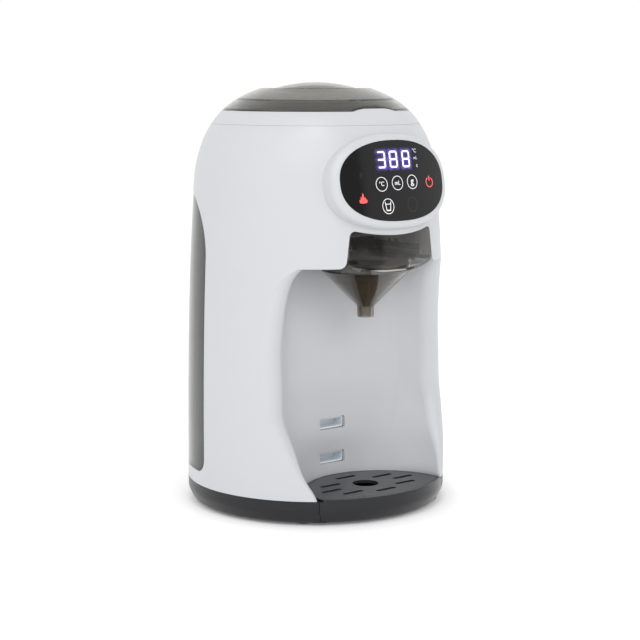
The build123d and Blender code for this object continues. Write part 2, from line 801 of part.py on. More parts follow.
def shaft_bushes():
    """Flanged bushes of the drive shaft, one in the bracket and one in the deck."""
    low = post(0, 0, bracket_z - 1.5, bracket_z + bracket_t, bush_r - 1, drive_shaft_r + shaft_clear)
    low += post(0, 0, bracket_z - 1.5, bracket_z - gap, bush_r + 1, drive_shaft_r + shaft_clear)
    high = post(0, 0, deck_low_z - 1.0, deck_low_z + deck_t, bush_r, drive_shaft_r + shaft_clear)
    high += post(0, 0, deck_low_z - 1.5, deck_low_z - gap, bush_r + 1.5, drive_shaft_r + shaft_clear)
    return group([low, high])


def gear_outline(teeth, shift_degrees):
    """Gear outline with straight-sided teeth, thinned for backlash."""
    pitch_r = gear_module * teeth / 2
    tip_r = pitch_r + gear_module * 0.9
    root_r = pitch_r - gear_module * 1.2
    step = 2 * pi / teeth
    thin = gear_backlash / pitch_r / 2
    corners = []
    for i in range(teeth):
        middle = i * step + radians(shift_degrees)
        for turn, r in ((-0.36, root_r), (-0.13, tip_r), (0.13, tip_r), (0.36, root_r)):
            sign = 1 if turn > 0 else -1
            angle = middle + turn * step - sign * thin
            corners.append((r * cos(angle), r * sin(angle)))
    return make_face(Polyline(*corners, close=True))


def drive_gear():
    wheel = extrude(Plane.XY.offset(gear_low_z) * gear_outline(gear_teeth, 0.0), amount=gear_t)
    shaft = post(0, 0, bracket_z - 3, deck_low_z + deck_t, drive_shaft_r)
    hub = post(0, 0, gear_low_z - 1.5, deck_low_z - 2.0, 5.5)
    dog = extrude(Plane.XY.offset(deck_low_z + deck_t) * RegularPolygon(hex_r, 6),
                  amount=container_low_z + 5.5 - deck_low_z - deck_t)
    return wheel + shaft + hub + dog


def motor_pinion():
    # A gap of the pinion faces the gear's tooth on the line between their centres.
    px, py = pinion_place()
    tooth_angle = 360.0 / gear_teeth
    away = (motor_turn / tooth_angle - round(motor_turn / tooth_angle)) * tooth_angle
    turned_by = motor_turn + 180 + 180.0 / pinion_teeth + away * gear_teeth / pinion_teeth
    outline = gear_outline(pinion_teeth, turned_by)
    pinion = Pos(px, py, gear_low_z - 0.5) * extrude(outline, amount=gear_t + 1.0)
    return pinion + post(px, py, bracket_z - 6.0, gear_low_z + gear_t, 2.0)


def stir_motor():
    px, py = pinion_place()
    top = bracket_z - gap
    can = post(px, py, top - motor_len, top, motor_r)
    can += post(px, py, top - motor_len - 2.5, top - motor_len + 1, 4.0)
    return can - post(px, py, top - 8.0, top + 1, 2.0 + shaft_clear)


def powder_chute():
    tube = chute_tube(chute_top_r) - chute_tube(chute_top_r - chute_wall)
    flange = post(0, outlet_y, deck_low_z - 1.6, deck_low_z, chute_top_r + 3) - post(
        0, outlet_y, deck_low_z - 3, deck_low_z + 1, chute_top_r - chute_wall)
    return tube + (flange - chute_tube(chute_top_r - chute_wall))


def chute_tube(r):
    """Slanting round tube from the deck's outlet to the funnel's mouth."""
    top = Plane.XY.offset(deck_low_z) * Pos(0, outlet_y) * Circle(r)
    low = Plane.XY.offset(funnel_neck_top_z + 4.0) * Pos(0, chute_low_y) * Circle(r)
    return loft([low, top])


def water_nozzle():
    seat_z = recess_top_z + shell_wall
    body = post(0, nozzle_y, funnel_neck_top_z + 3.0, nozzle_top_z, nozzle_r, 1.6)
    body += post(0, nozzle_y, nozzle_top_z - 2.0, nozzle_top_z, nozzle_r)
    body += post(0, nozzle_y, seat_z + gap, seat_z + 1.5, nozzle_r + 2, 1.6)
    body += rod_x(nozzle_y, nozzle_nipple_z, 2.5, nozzle_r + nipple_len, nipple_r)
    return body - rod_x(nozzle_y, nozzle_nipple_z, 0, nozzle_r + nipple_len + 1, nipple_hole_r)


def boiler():
    body = post(boiler_x, works_y, boiler_low_z, boiler_high_z, boiler_r)
    body = fillet(body.edges(), 3.0)
    body += post(boiler_x, works_y, boiler_high_z - 1, boiler_high_z + nipple_len, nipple_r)
    nipple_end = boiler_x - boiler_r - nipple_len
    body += rod_x(works_y, boiler_inlet_z, nipple_end, boiler_x - 5, nipple_r)
    core = post(boiler_x, works_y, boiler_low_z + 3, boiler_high_z - 3, boiler_r - 4)
    core += post(boiler_x, works_y, boiler_high_z - 4, boiler_high_z + nipple_len + 1, nipple_hole_r)
    core += rod_x(works_y, boiler_inlet_z, nipple_end - 1, boiler_x, nipple_hole_r)
    return body - core


def boiler_clamps():
    clamps = []
    for z in (boiler_low_z + 26, boiler_high_z - 16):
        ring = post(boiler_x, works_y, z - 4, z + 4, boiler_r + 1.5, boiler_r + 0.03)
        side_x = boiler_x + boiler_r
        foot = block(side_x + 0.5, side_x + 7, works_y - 3, works_y + 3, z - 4, z + 4)
        back = block(boiler_x - 4, boiler_x + 4, works_y + boiler_r + 0.6, lining_front_y, z - 4, z + 4)
        clamps.append(ring + foot + back)
    return group(clamps)


def thermostat():
    z = (boiler_low_z + boiler_high_z) / 2
    disc = rod_y(boiler_x, z, works_y - boiler_r - 2.2, works_y - boiler_r, 6.5)
    return disc - post(boiler_x, works_y, z - 10, z + 10, boiler_r + 0.02) + block(
        boiler_x - 3, boiler_x - 2, works_y - boiler_r - 2.7, works_y - boiler_r - 1.5, z + 5, z + 10)


def temp_sensor():
    z = boiler_high_z - 30
    bead = rod_x(works_y, z, boiler_x - boiler_r - 5, boiler_x - boiler_r, 2.5)
    return bead - post(boiler_x, works_y, z - 10, z + 10, boiler_r + 0.02)


def pump_housing():
    low = pump_low_z
    body = post(pump_x, works_y, low, low + pump_h, pump_r)
    body -= post(pump_x, works_y, low + 2, low + pump_h - 2, pump_r - 2)
    body -= post(pump_x, works_y, low + pump_h - 3, low + pump_h + 1, pump_shaft_r + shaft_clear)
    for z in (pump_inlet_z, pump_outlet_z):
        body += rod_x(works_y, z, pump_x + pump_r - 1.5, pump_x + pump_r + nipple_len, nipple_r)
        body -= rod_x(works_y, z, pump_x + pump_r - 4, pump_x + pump_r + nipple_len + 1, nipple_hole_r)
    return body


def pump_rotor():
    low = pump_low_z + 2.5
    disc = post(pump_x, works_y, low, low + 2.0, pump_r - 2.5)
    blades = Pos(0, 0, low + 5) * Box((pump_r - 3) * 2, 1.0, 6.5)
    for i in range(3):
        disc += Pos(pump_x, works_y, 0) * Rot(0, 0, 60 * i) * blades
    return disc + post(pump_x, works_y, low, pump_low_z + pump_h + 8, pump_shaft_r)


def pump_motor():
    low = pump_low_z + pump_h
    can = post(pump_x, works_y, low, low + pump_motor_len, pump_r - 0.5)
    can += post(pump_x, works_y, low + pump_motor_len - 1, low + pump_motor_len + 2, 4.0)
    return can - post(pump_x, works_y, low - 1, low + 8.6, pump_shaft_r + shaft_clear)


def pump_feet():
    """Rubber blocks that carry the pump on the tank lining."""
    feet = []
    for z in (pump_low_z + 11, pump_low_z + pump_h + 24):
        foot = block(pump_x - 6, pump_x + 6, works_y, lining_front_y, z - 5, z + 5)
        feet.append(foot - post(pump_x, works_y, z - 10, z + 10, pump_r + 0.03))
    return group(feet)


def hose(points, radii):
    path = FilletPolyline(*points, radius=radii)
    start = Plane(origin=path @ 0, z_dir=path % 0)
    tube = sweep(start * Circle(hose_r), path=path)
    bore = sweep(start * Circle(hose_bore_r), path=path)
    return tube - bore


def feed_hose():
    left = pump_x + pump_r + gap
    right = port_x - 7 - gap
    tube = rod_x(works_y, pump_inlet_z, left, right, hose_r)
    return tube - rod_x(works_y, pump_inlet_z, left - 1, right + 1, hose_bore_r)


def boiler_hose():
    start = (pump_x + pump_r + gap, works_y, pump_outlet_z)
    end = (boiler_x - boiler_r - gap, works_y, boiler_inlet_z)
    low_turn = (start[0] + 16, works_y, pump_outlet_z)
    high_turn = (start[0] + 27, works_y, boiler_inlet_z)
    points = [start, low_turn, high_turn, end]
    return hose(points, [9.0, 12.0])


def nozzle_hose():
    start = (boiler_x, works_y, boiler_high_z + gap)
    end = (nozzle_r + gap, nozzle_y, nozzle_nipple_z)
    lift = nozzle_nipple_z - 2.0
    points = [start, (boiler_x, works_y, lift), (boiler_x, nozzle_y, nozzle_nipple_z), end]
    return hose(points, [14.0, 12.0])


def main_board():
    """Control board, upright in front of the tank lining."""
    rear = lining_front_y - board_stand
    board = block(board_x0, board_x1, rear - board_t, rear, board_z0, board_z1)
    for x0, x1, z0, z1, height in main_board_parts:
        board += block(x0, x1, rear - board_t - height, rear - board_t, z0, z1)
    for x, z in board_corners():
        board -= rod_y(x, z, rear - 5, rear + 1, 1.6)
    return board


def board_corners():
    xs = (board_x0 + board_hole_in, board_x1 - board_hole_in)
    zs = (board_z0 + board_hole_in, board_z1 - board_hole_in)
    return [(x, z) for x in xs for z in zs]


def board_posts():
    rear = lining_front_y
    return group(rod_y(x, z, rear - board_stand, rear, 3.0) + rod_y(x, z, rear - 8.0, rear - 4.5, 1.5)
                 for x, z in board_corners())


def power_board():
    floor = pan_low_z + pan_floor_t
    low = floor + power_board_stand
    top = low + board_t
    board = block(-power_board_half_w, power_board_half_w, power_board_front_y, power_board_rear_y, low, top)
    for x0, x1, y0, y1, height in power_board_parts:
        board += block(x0, x1, y0, y1, top, top + height)
    post_x = power_board_half_w - power_post_in
    for x in (-post_x, post_x):
        for y in (power_board_front_y + power_post_in, power_board_rear_y - power_post_in):
            board += post(x, y, floor, low + 0.5, 2.5)
    return board


def level_sensor():
    """Sensor that reads the float through the lining."""
    return block(float_x - 5, float_x + 5, lining_front_y - 4, lining_front_y,
                 tank_low_z + 8, tank_low_z + 26)


# ---- display ---------------------------------------------------------------------------
def display_panel():
    return display_slab(panel_half_w, panel_half_h, 0.0, panel_t)


def display_frame():
    margin = panel_margin + gap
    outside = flat_slab(panel_half_w - margin, panel_half_h - margin, 0.0, board_depth)
    inside = flat_slab(panel_half_w - margin - frame_t, panel_half_h - margin - frame_t, -5, board_depth + 1)
    behind = display_slab(panel_half_w + 5, panel_half_h + 5, panel_t, pad_depth)
    return ((outside - inside) & behind).solids().sort_by(SortBy.VOLUME)[-1]


def display_board():
    margin = panel_margin + gap
    return flat_slab(panel_half_w - margin, panel_half_h - margin, board_depth, board_depth + board_t)


def led_digits():
    plan = Pos(0, led_y) * Rectangle(led_w, led_h)
    return extrude(display_plane.offset(-board_depth) * plan, amount=board_depth - panel_t - 1.2)


def touch_springs():
    """Touch contacts between the board and the back of the panel, one behind each symbol."""
    pads = []
    for x, y in touch_places:
        low = display_plane.offset(-board_depth) * Pos(x, y) * Circle(3.0)
        back_of_panel = panel_t + (abs(x) + 3.0) ** 2 / (2 * panel_bend_r)
        pads.append(extrude(low, amount=board_depth - back_of_panel - 0.1))
    return group(pads)


# ---- water tank ------------------------------------------------------------------------
def water_tank():
    outside = tank_side(0.0) & body_solid(tank_low_z - 2, tank_high_z + 2)
    inside = tank_side(-tank_wall) & body_solid(tank_low_z - 4, tank_high_z + 4, tank_wall)
    tank = outside - inside
    tank += post(0, cap_y, tank_high_z - 7, tank_high_z - tank_wall + 0.2, cap_r + 2.0) & inside
    tank -= post(0, cap_y, tank_high_z - 10, tank_high_z + 1, cap_r - 3.0)
    tank -= post(0, cap_y, tank_high_z - 3.5, tank_high_z + 1, cap_r + gap)
    tank += rod_y(port_x, port_z, tank_front_y + 0.5, tank_front_y + 14, valve_r + 2.5)
    tank -= rod_y(port_x, port_z, tank_front_y - 1, tank_front_y + 20, 4.0)
    tank -= rod_y(port_x, port_z, tank_front_y + tank_wall - 0.5, tank_front_y + 20, valve_r + 0.05)
    post_top_z = tank_low_z + tank_wall + float_h + float_travel + 2
    tank += post(float_x, float_y, tank_low_z + 1, post_top_z, float_post_r)
    return tank.solids().sort_by(SortBy.VOLUME)[-1]


def tank_cap():
    low = tank_high_z - 3.2
    cap = post(0, cap_y, low, tank_high_z - 0.4, cap_r)
    cap += post(0, cap_y, low - 4, low + 0.5, cap_r - 3.3) - post(0, cap_y, low - 5, low - 0.4, cap_r - 5)
    grip = cap_r * 0.6
    groove = block(-grip, grip, cap_y - 6, cap_y - 1.5, low + 1.2, tank_high_z)
    return cap - groove - Pos(0, 7.5, 0) * groove


def tank_valve():
    """Spring-loaded plug that closes the tank's outlet until the port's pin opens it."""
    front = tank_front_y + tank_wall - 0.5
    plug = rod_y(port_x, port_z, front + 0.02, front + 2.5, valve_r)
    plug += rod_y(port_x, port_z, front, front + 12, 1.5)
    return plug - rod_y(port_x, port_z, front - 1, front + 0.8, 1.6)


def tank_float():
    low = tank_low_z + tank_wall + gap
    return post(float_x, float_y, low, low + float_h, float_r, float_post_r + shaft_clear)


# ---- funnel unit -----------------------------------------------------------------------
def funnel():
    low_cone_z = cone_top_z - (cone_r - spout_r)
    tip_r = spout_r - 0.4
    outer = [(0, funnel_neck_top_z), (cone_r, funnel_neck_top_z), (cone_r, cone_top_z),
             (spout_r, low_cone_z), (tip_r, spout_tip_z), (0, spout_tip_z)]
    w = funnel_wall
    over = funnel_neck_top_z + 1
    under = spout_tip_z - 1
    inner = [(0, over), (cone_r - w, over), (cone_r - w, cone_top_z + w * 0.4),
             (spout_r - w, low_cone_z + w * 0.4), (tip_r - w, under), (0, under)]
    cone = turned_polygon(*outer) - turned_polygon(*inner)
    cone = Pos(0, funnel_y, 0) * cone
    rail_low = bay_ceiling_z + shell_wall + gap
    for side in (1, -1):
        x0 = cone_r - 1.2
        x1 = cone_r + rail_w
        rail = block(x0, x1, cover_rear_y(), recess_rear_y - 4, rail_low, rail_low + rail_t)
        if side < 0:
            rail = mirror(rail, Plane.YZ)
        cone += rail - Pos(0, funnel_y, 0) * post(0, 0, rail_low - 1, rail_low + 9, cone_r - w)
    return cone


def cover_rear_y():
    """Flat back of the funnel's front cover, where the rails end."""
    side_x = cone_r + rail_w
    return -sqrt(body_radius(cover_low_z) ** 2 - side_x ** 2) + cover_t + 1.0


def funnel_cover():
    """Curved front cover with lugs for the rails and a lip down to the cone's rim."""
    outside = body_solid(cone_top_z - 5, cover_corner_z + 8)
    face = cover_prism(0.0, False) & outside
    face -= body_solid(cone_top_z - 7, cover_corner_z + 10, cover_t)
    face -= lip_cone(0.0)
    rail_low = bay_ceiling_z + shell_wall + gap
    for side in (1, -1):
        x0 = cone_r - 1.0 if side > 0 else -(cone_r + rail_w)
        lug = block(x0, x0 + rail_w + 1.0, -body_r, cover_rear_y(), rail_low, rail_low + rail_t)
        face += lug & body_solid(cone_top_z - 5, cover_corner_z + 8, cover_t / 2)
    lip_half_w = cover_half_w_low - cover_corner_r * 0.7
    lip = (lip_cone(lip_t) - lip_cone(0.0)) & outside
    face += lip & block(-lip_half_w, lip_half_w, -body_r, cover_rear_y(), cone_top_z - 5, cover_mid_z)
    face -= Pos(0, funnel_y, 0) * post(0, 0, cone_top_z - 9, cover_corner_z + 9, cone_r + gap)
    return face.solids().sort_by(SortBy.VOLUME)[-1]


# ---- drip tray -------------------------------------------------------------------------
def drip_tray():
    outside = base_solid(0.0) & post(0, 0, pan_low_z + 0.1, tray_top_z, far)
    cup = tray_body(0.0, tray_floor_z, tray_top_z) & outside
    cup -= tray_body(tray_wall, tray_floor_z + tray_wall, tray_top_z + 1) & base_solid(tray_wall)
    ledge_z = tray_top_z - grate_t - gap
    ledge = tray_body(0.5, ledge_z - 1.5, ledge_z) - tray_body(tray_wall + 1.5, ledge_z - 3, ledge_z + 1)
    apron = block(-tray_half_w, tray_half_w, -far, pan_front_y - slide_gap, pan_low_z, base_top_z - 0.1)
    apron = (apron & outside) - base_solid(tray_wall)
    return cup + ledge + apron


def drip_grate():
    low = tray_top_z - grate_t
    grate = tray_body(tray_wall + gap, low, tray_top_z)
    grate -= post(0, drain_y, low - 1, tray_top_z + 1, drain_r)
    for x, y in slot_places:
        slot = Plane.XY.offset(low - 1) * Pos(x, y) * SlotOverall(2 * slot_half_len, slot_w)
        grate -= extrude(slot, amount=grate_t + 2)
    return grate


# ---- powder container and lid ----------------------------------------------------------
def powder_container():
    low = container_low_z
    flange_top = lid_edge_z - gap - 0.3
    cup = post(0, 0, low, flange_top, container_r)
    cup += post(0, 0, flange_top - container_flange_t, flange_top, container_flange_r)
    cup -= post(0, 0, low + container_wall, flange_top + 1, container_r - container_wall)
    cup -= post(0, 0, low - 1, low + 5, hub_r + shaft_clear)
    cup -= post(0, outlet_y, low - 1, low + 5, outlet_r)
    for x, y in scraper_posts:
        cup += post(x, y, low + container_wall - 0.5, scraper_z, 2.0)
    return cup


def outlet_scraper():
    """Fixed cover over the outlet; it strikes off the pockets of the turning disc."""
    ring = post(0, 0, scraper_z, scraper_z + scraper_t, container_r - container_wall - gap, 30.0)
    return ring & block(-26, 26, -far, 0, 0, far * 3)


def dosing_disc():
    low = container_low_z + container_wall + gap
    disc = post(0, 0, low, low + dose_disc_t, dose_disc_r - 3.0, hub_r + 0.02)
    for i in range(dose_pockets):
        turn = 2 * pi * (i + 0.5) / dose_pockets
        x = -outlet_y * cos(turn)
        y = -outlet_y * sin(turn)
        disc -= post(x, y, low - 1, low + dose_disc_t + 1, outlet_r - 1.5)
    return disc


def stirring_paddle():
    low = container_low_z + 0.1
    hub = post(0, 0, low, scraper_z + 14, hub_r)
    socket = Plane.XY.offset(low - 1) * RegularPolygon(hex_r + 0.12, 6)
    hub -= extrude(socket, amount=7.2)
    arm_z = scraper_z + scraper_t + 2.0
    reach = container_r - container_wall - 3.5
    for i in range(3):
        arm = block(0, reach, -paddle_half_t, paddle_half_t, arm_z, arm_z + paddle_h)
        riser = block(reach - riser_w, reach, -paddle_half_t, paddle_half_t, arm_z, arm_z + riser_h)
        hub += Rot(0, 0, 120 * i + 30) * (arm + riser)
    return hub


def lid_curve(inset):
    points = []
    for i in range(9):
        z = lid_edge_z + (lid_flat_z - lid_edge_z) * i / 8
        points.append(body_curve(z, z + 1, inset, 1)[0])
    return points


def lid_dome(inset, low):
    points = lid_curve(inset)
    top = points[-1][1]
    first_r = points[0][0]
    outline = [
        Spline(points),
        Line(points[-1], (0, top)),
        Line((0, top), (0, low)),
        Line((0, low), (first_r, low)),
    ]
    if abs(low - points[0][1]) > 1e-6:
        outline.append(Line((points[0][0], low), points[0]))
    return revolve(Plane.XZ * make_face(outline), Axis.Z)


def powder_lid():
    """Smoked dome with a bar to lift it by."""
    lid = lid_dome(0.0, lid_edge_z)
    lid += grip_bar(0.0)
    lid -= lid_dome(lid_wall, lid_edge_z - 5)
    lid -= grip_bar(lid_wall)
    plug_r = lid_plug_r - seal_depth
    plug = post(0, 0, lid_plug_low_z, lid_flat_z, plug_r, plug_r - lid_plug_t)
    lid += plug & lid_dome(lid_wall / 2, lid_plug_low_z - 1)
    half = notch_half_w
    outline = [
        Line((-half, lid_edge_z - 1), (half, lid_edge_z - 1)),
        Line((half, lid_edge_z - 1), (half, lid_edge_z)),
        ThreePointArc((half, lid_edge_z), (0, lid_edge_z + notch_h), (-half, lid_edge_z)),
        Line((-half, lid_edge_z), (-half, lid_edge_z - 1)),
    ]
    front = Plane(origin=(0, -lid_plug_r - 1.9, 0), x_dir=(1, 0, 0), z_dir=(0, -1, 0))
    lid -= extrude(front * make_face(outline), amount=far)
    return lid.solids().sort_by(SortBy.VOLUME)[-1]


def grip_bar(inset):
    """Crowned grip across the lid: the top of a barrel that lies along it."""
    rise = grip_top_z - lid_flat_z + grip_sink
    half_len = grip_len / 2
    half_w = grip_w / 2
    long_r = (half_len ** 2 + rise ** 2) / (2 * rise)
    cross_r = (half_w ** 2 + rise ** 2) / (2 * rise)
    axis_z = grip_top_z - long_r
    half_in = half_w - inset
    edge_z = grip_top_z - cross_r + sqrt((cross_r - inset) ** 2 - half_in ** 2)
    outline = [
        Line((-half_in, axis_z), (-half_in, edge_z)),
        ThreePointArc((-half_in, edge_z), (0, grip_top_z - inset), (half_in, edge_z)),
        Line((half_in, edge_z), (half_in, axis_z)),
        Line((half_in, axis_z), (-half_in, axis_z)),
    ]
    barrel = revolve(Plane.YZ * make_face(outline), Axis((0, 0, axis_z), (0, 1, 0)))
    return barrel & block(-half_len + inset, half_len - inset, -half_w, half_w, lid_flat_z - 5, grip_top_z + 1)


def lid_seal():
    low = lid_plug_low_z + 1.5
    bore_r = lid_plug_r - seal_depth + 0.02
    seal = post(0, 0, low, low + 3.0, container_r - container_wall - 0.1, bore_r)
    return fillet(seal.edges().group_by(Axis.Z)[-1].sort_by(SortBy.LENGTH)[-1:], 0.6)


pieces = {
    "outer_shell": outer_shell,
    "top_collar": top_collar,
    "base_pan": base_pan,
    "rubber_feet": rubber_feet,
    "base_screws": base_screws,
    "power_inlet": power_inlet,
    "power_board": power_board,
    "pocket_liner": pocket_liner,
    "tank_bay": tank_bay,
    "tank_port": tank_port,
    "level_sensor": level_sensor,
    "powder_deck": powder_deck,
    "deck_screws": deck_screws,
    "drive_bracket": drive_bracket,
    "shaft_bushes": shaft_bushes,
    "drive_gear": drive_gear,
    "motor_pinion": motor_pinion,
    "stir_motor": stir_motor,
    "powder_chute": powder_chute,
    "water_nozzle": water_nozzle,
    "boiler": boiler,
    "boiler_clamps": boiler_clamps,
    "thermostat": thermostat,
    "temp_sensor": temp_sensor,
    "pump_housing": pump_housing,
    "pump_rotor": pump_rotor,
    "pump_motor": pump_motor,
    "pump_feet": pump_feet,
    "feed_hose": feed_hose,
    "boiler_hose": boiler_hose,
    "nozzle_hose": nozzle_hose,
    "main_board": main_board,
    "board_posts": board_posts,
    "display_panel": display_panel,
    "display_frame": display_frame,
    "display_board": display_board,
    "led_digits": led_digits,
    "touch_springs": touch_springs,
    "water_tank": water_tank,
    "tank_cap": tank_cap,
    "tank_valve": tank_valve,
    "tank_float": tank_float,
    "funnel": funnel,
    "funnel_cover": funnel_cover,
    "drip_tray": drip_tray,
    "drip_grate": drip_grate,
    "powder_container": powder_container,
    "outlet_scraper": outlet_scraper,
    "dosing_disc": dosing_disc,
    "stirring_paddle": stirring_paddle,
    "powder_lid": powder_lid,
    "lid_seal": lid_seal,
}

os.makedirs("parts", exist_ok=True)
for name, make in pieces.items():
    save(make(), name)
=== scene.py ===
import math

import bpy
import bmesh
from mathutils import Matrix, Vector


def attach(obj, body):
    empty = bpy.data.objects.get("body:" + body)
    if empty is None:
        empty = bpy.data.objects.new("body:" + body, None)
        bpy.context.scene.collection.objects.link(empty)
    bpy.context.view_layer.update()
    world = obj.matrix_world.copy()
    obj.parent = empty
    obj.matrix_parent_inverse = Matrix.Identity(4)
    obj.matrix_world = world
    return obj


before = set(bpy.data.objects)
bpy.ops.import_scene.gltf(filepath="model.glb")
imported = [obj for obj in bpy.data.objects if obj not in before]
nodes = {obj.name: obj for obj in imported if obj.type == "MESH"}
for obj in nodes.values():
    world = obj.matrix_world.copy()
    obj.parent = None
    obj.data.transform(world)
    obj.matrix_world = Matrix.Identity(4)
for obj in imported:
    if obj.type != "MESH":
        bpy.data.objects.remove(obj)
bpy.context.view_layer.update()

MM = 0.001

# ---- camera ----------------------------------------------------------------------------
camera_place = Vector((-0.827165, -1.024770, 0.331766))
camera_turn = math.radians(39.058)      # to the right of straight ahead
camera_dip = math.radians(8.247)        # below level
camera_lens = 95.0
camera_sensor = 36.0

# ---- light and floor, in m -------------------------------------------------------------
sky = 1.01
# Brightness of the studio by direction: 0 and 1 are straight behind the machine, and 0.5 is
# straight ahead of it. The gloss black panel and the smoked cover mirror the darker strip.
sky_stops = [
    (0.0, sky), (0.470, sky), (0.482, 0.31), (0.566, 0.27), (0.576, 0.72),
    (0.67, 0.80), (0.72, sky), (1.0, sky),
]
lights = [
    # name, place, where it points, width and height, power
    ("key", (-1.6, -1.0, 1.8), (0, 0, 0.15), (1.4, 1.4), 6.2),
    ("over", (-0.52, -0.64, 1.54), (0, 0, 0.28), (0.35, 0.35), 2.2),
    ("front", (-0.25, -2.0, 1.3), (0, 0, 0.15), (1.6, 0.8), 11.5),
]
floor_half = 6.0
floor_glow = 0.12       # keeps the floor pale close to the machine

# ---- display, as the CAD has it --------------------------------------------------------
panel_middle = Vector((0.0, -0.0955, 0.2553))
panel_lean = math.radians(10.4)
panel_bend = 0.2277
panel_across = Vector((1.0, 0.0, 0.0))
panel_up = Vector((0.0, math.sin(panel_lean), math.cos(panel_lean)))
panel_out = Vector((0.0, -math.cos(panel_lean), math.sin(panel_lean)))

# What the panel shows, in mm from the panel's middle
print_t = 0.05          # thickness of what is printed
print_share = 0.9       # how much of that is the print's own wall
weld = 0.002            # corners nearer than this are one corner

digit_w = 7.8
digit_h = 12.6
digit_stroke = 1.3
digit_gap = 0.25        # between the ends of two bars
digit_middles = [(-13.0, 15.7), (-1.5, 15.7), (10.9, 15.7)]
digit_lit = ["abcdg", "abcdefg", "abcdefg"]

glow_x = (-21.0, 21.0)
glow_y = (6.0, 25.4)
glow_cells = (84, 40)
glow_lift = 0.02
glow_edge = 2.0         # over this width the sheet fades out
glow_reach = 1.9        # how far light spills from a bar
glow_share = 0.42       # of a bar's light, close to it
glow_most = 0.9

touch_xs = (-15.0, 0.0, 15.0)
touch_y = -1.9
touch_climb = 0.02      # the row rises a little to the right
touch_size = (5.35, 5.3)
ring_stroke = 0.44

bottle_middle = (-11.2, -18.6)
bottle_size = (5.4, 5.7)
bottle_bars = [
    # from x and y, to x and y, width
    (-13.8, -15.2, -12.9, -21.6, 0.5), (-8.6, -15.2, -9.5, -21.6, 0.5),
    (-13.5, -17.0, -8.9, -17.0, 0.45), (-12.9, -21.6, -9.5, -21.6, 0.9),
]

power_middle = (33.9, -2.2)
power_size = (4.0, 3.9)
power_stroke = 0.62
power_open = (118.0, 422.0)     # degrees, where the ring starts and ends
power_bar = (33.9, 2.5, 33.9, -1.2, 0.75)

flame = [
    [(-33.0, -8.2), (-32.6, -7.9), (-32.2, -8.6), (-31.9, -10.4), (-31.2, -13.4),
     (-34.0, -13.4), (-33.4, -10.4)],
    [(-34.6, -10.6), (-34.1, -10.4), (-33.8, -13.0), (-35.0, -13.0)],
    [(-31.2, -10.9), (-30.6, -11.1), (-30.2, -13.0), (-31.6, -13.0)],
    [(-36.0, -12.6), (-35.0, -13.0), (-30.4, -13.0), (-29.2, -12.6), (-29.6, -14.9),
     (-32.6, -15.3), (-35.6, -14.9)],
]

letter_size = 1.4       # of the font, for letters of height 1
letter_bold = 0.01
touch_letters = [
    # piece, letters, x, y, height, stretch, how much bolder
    ("degree_symbol", "°C", -15.0, -2.1, 3.2, 1.0, letter_bold),
    ("volume_symbol", "mL", 0.0, -1.9, 3.3, 0.95, letter_bold),
    ("weight_symbol", "g", 15.0, -1.0, 5.0, 1.1, 0.0),
]
unit_letters = [
    ("degree_unit", "°C", 20.6, 21.5, 2.9, 1.0, letter_bold),
    ("volume_unit", "mL", 21.0, 16.2, 2.4, 0.9, letter_bold),
    ("weight_unit", "g", 22.0, 10.9, 2.2, 1.0, letter_bold),
]

unlit_stroke = 0.5
unlit_oval = (12.6, -18.4, 5.0, 5.6)
unlit_drop = (-32.3, 5.0, 1.1, 2.0)

# ---- funnel, cap and body in mm, as the CAD has them -----------------------------------
funnel_y = -60.3
cap_y = 75.5
cap_r = 15.0
cap_low_z = 240.8
cap_top_z = 243.6
body_r = 101.2
body_taper = 6.5        # how much narrower the body is at the shoulder
body_bend = 2.5         # power by which it narrows on the way up
base_top_z = 19.6
shoulder_z = 247.0

# ---- what is added to them, in mm ------------------------------------------------------
# Where painted shade darkens the shell's white wall, in the head's recess
dark_half_w = 40.4
dark_front_y = -88.5
dark_rear_y = -22.5
dark_low_z = 200.0
dark_high_z = 204.5

# Corners of the funnel's inner parts, as radius and height
drop_tube = [(11.0, 183.0), (9.9, 183.0), (5.2, 160.5), (5.2, 152.0), (6.1, 152.0), (6.1, 160.5)]
cone_rib = [(24.9, 179.4), (24.0, 179.4), (23.2, 178.2), (23.7, 178.2)]

rib_count = 40
rib_depth = 0.3
rib_half_w = 0.42
rib_short = 0.3         # how much lower than the cap's edge

mark_inset = 0.24       # of the middle of a mark's stroke in the tank's wall
mark_stroke = 0.6
mark_step = 28.0
mark_columns = [
    # piece, sweep in radians, count, height of the lowest
    ("tank_marks_long", 0.17, 6, 62.0),
    ("tank_marks_short", 0.08, 5, 76.0),
]


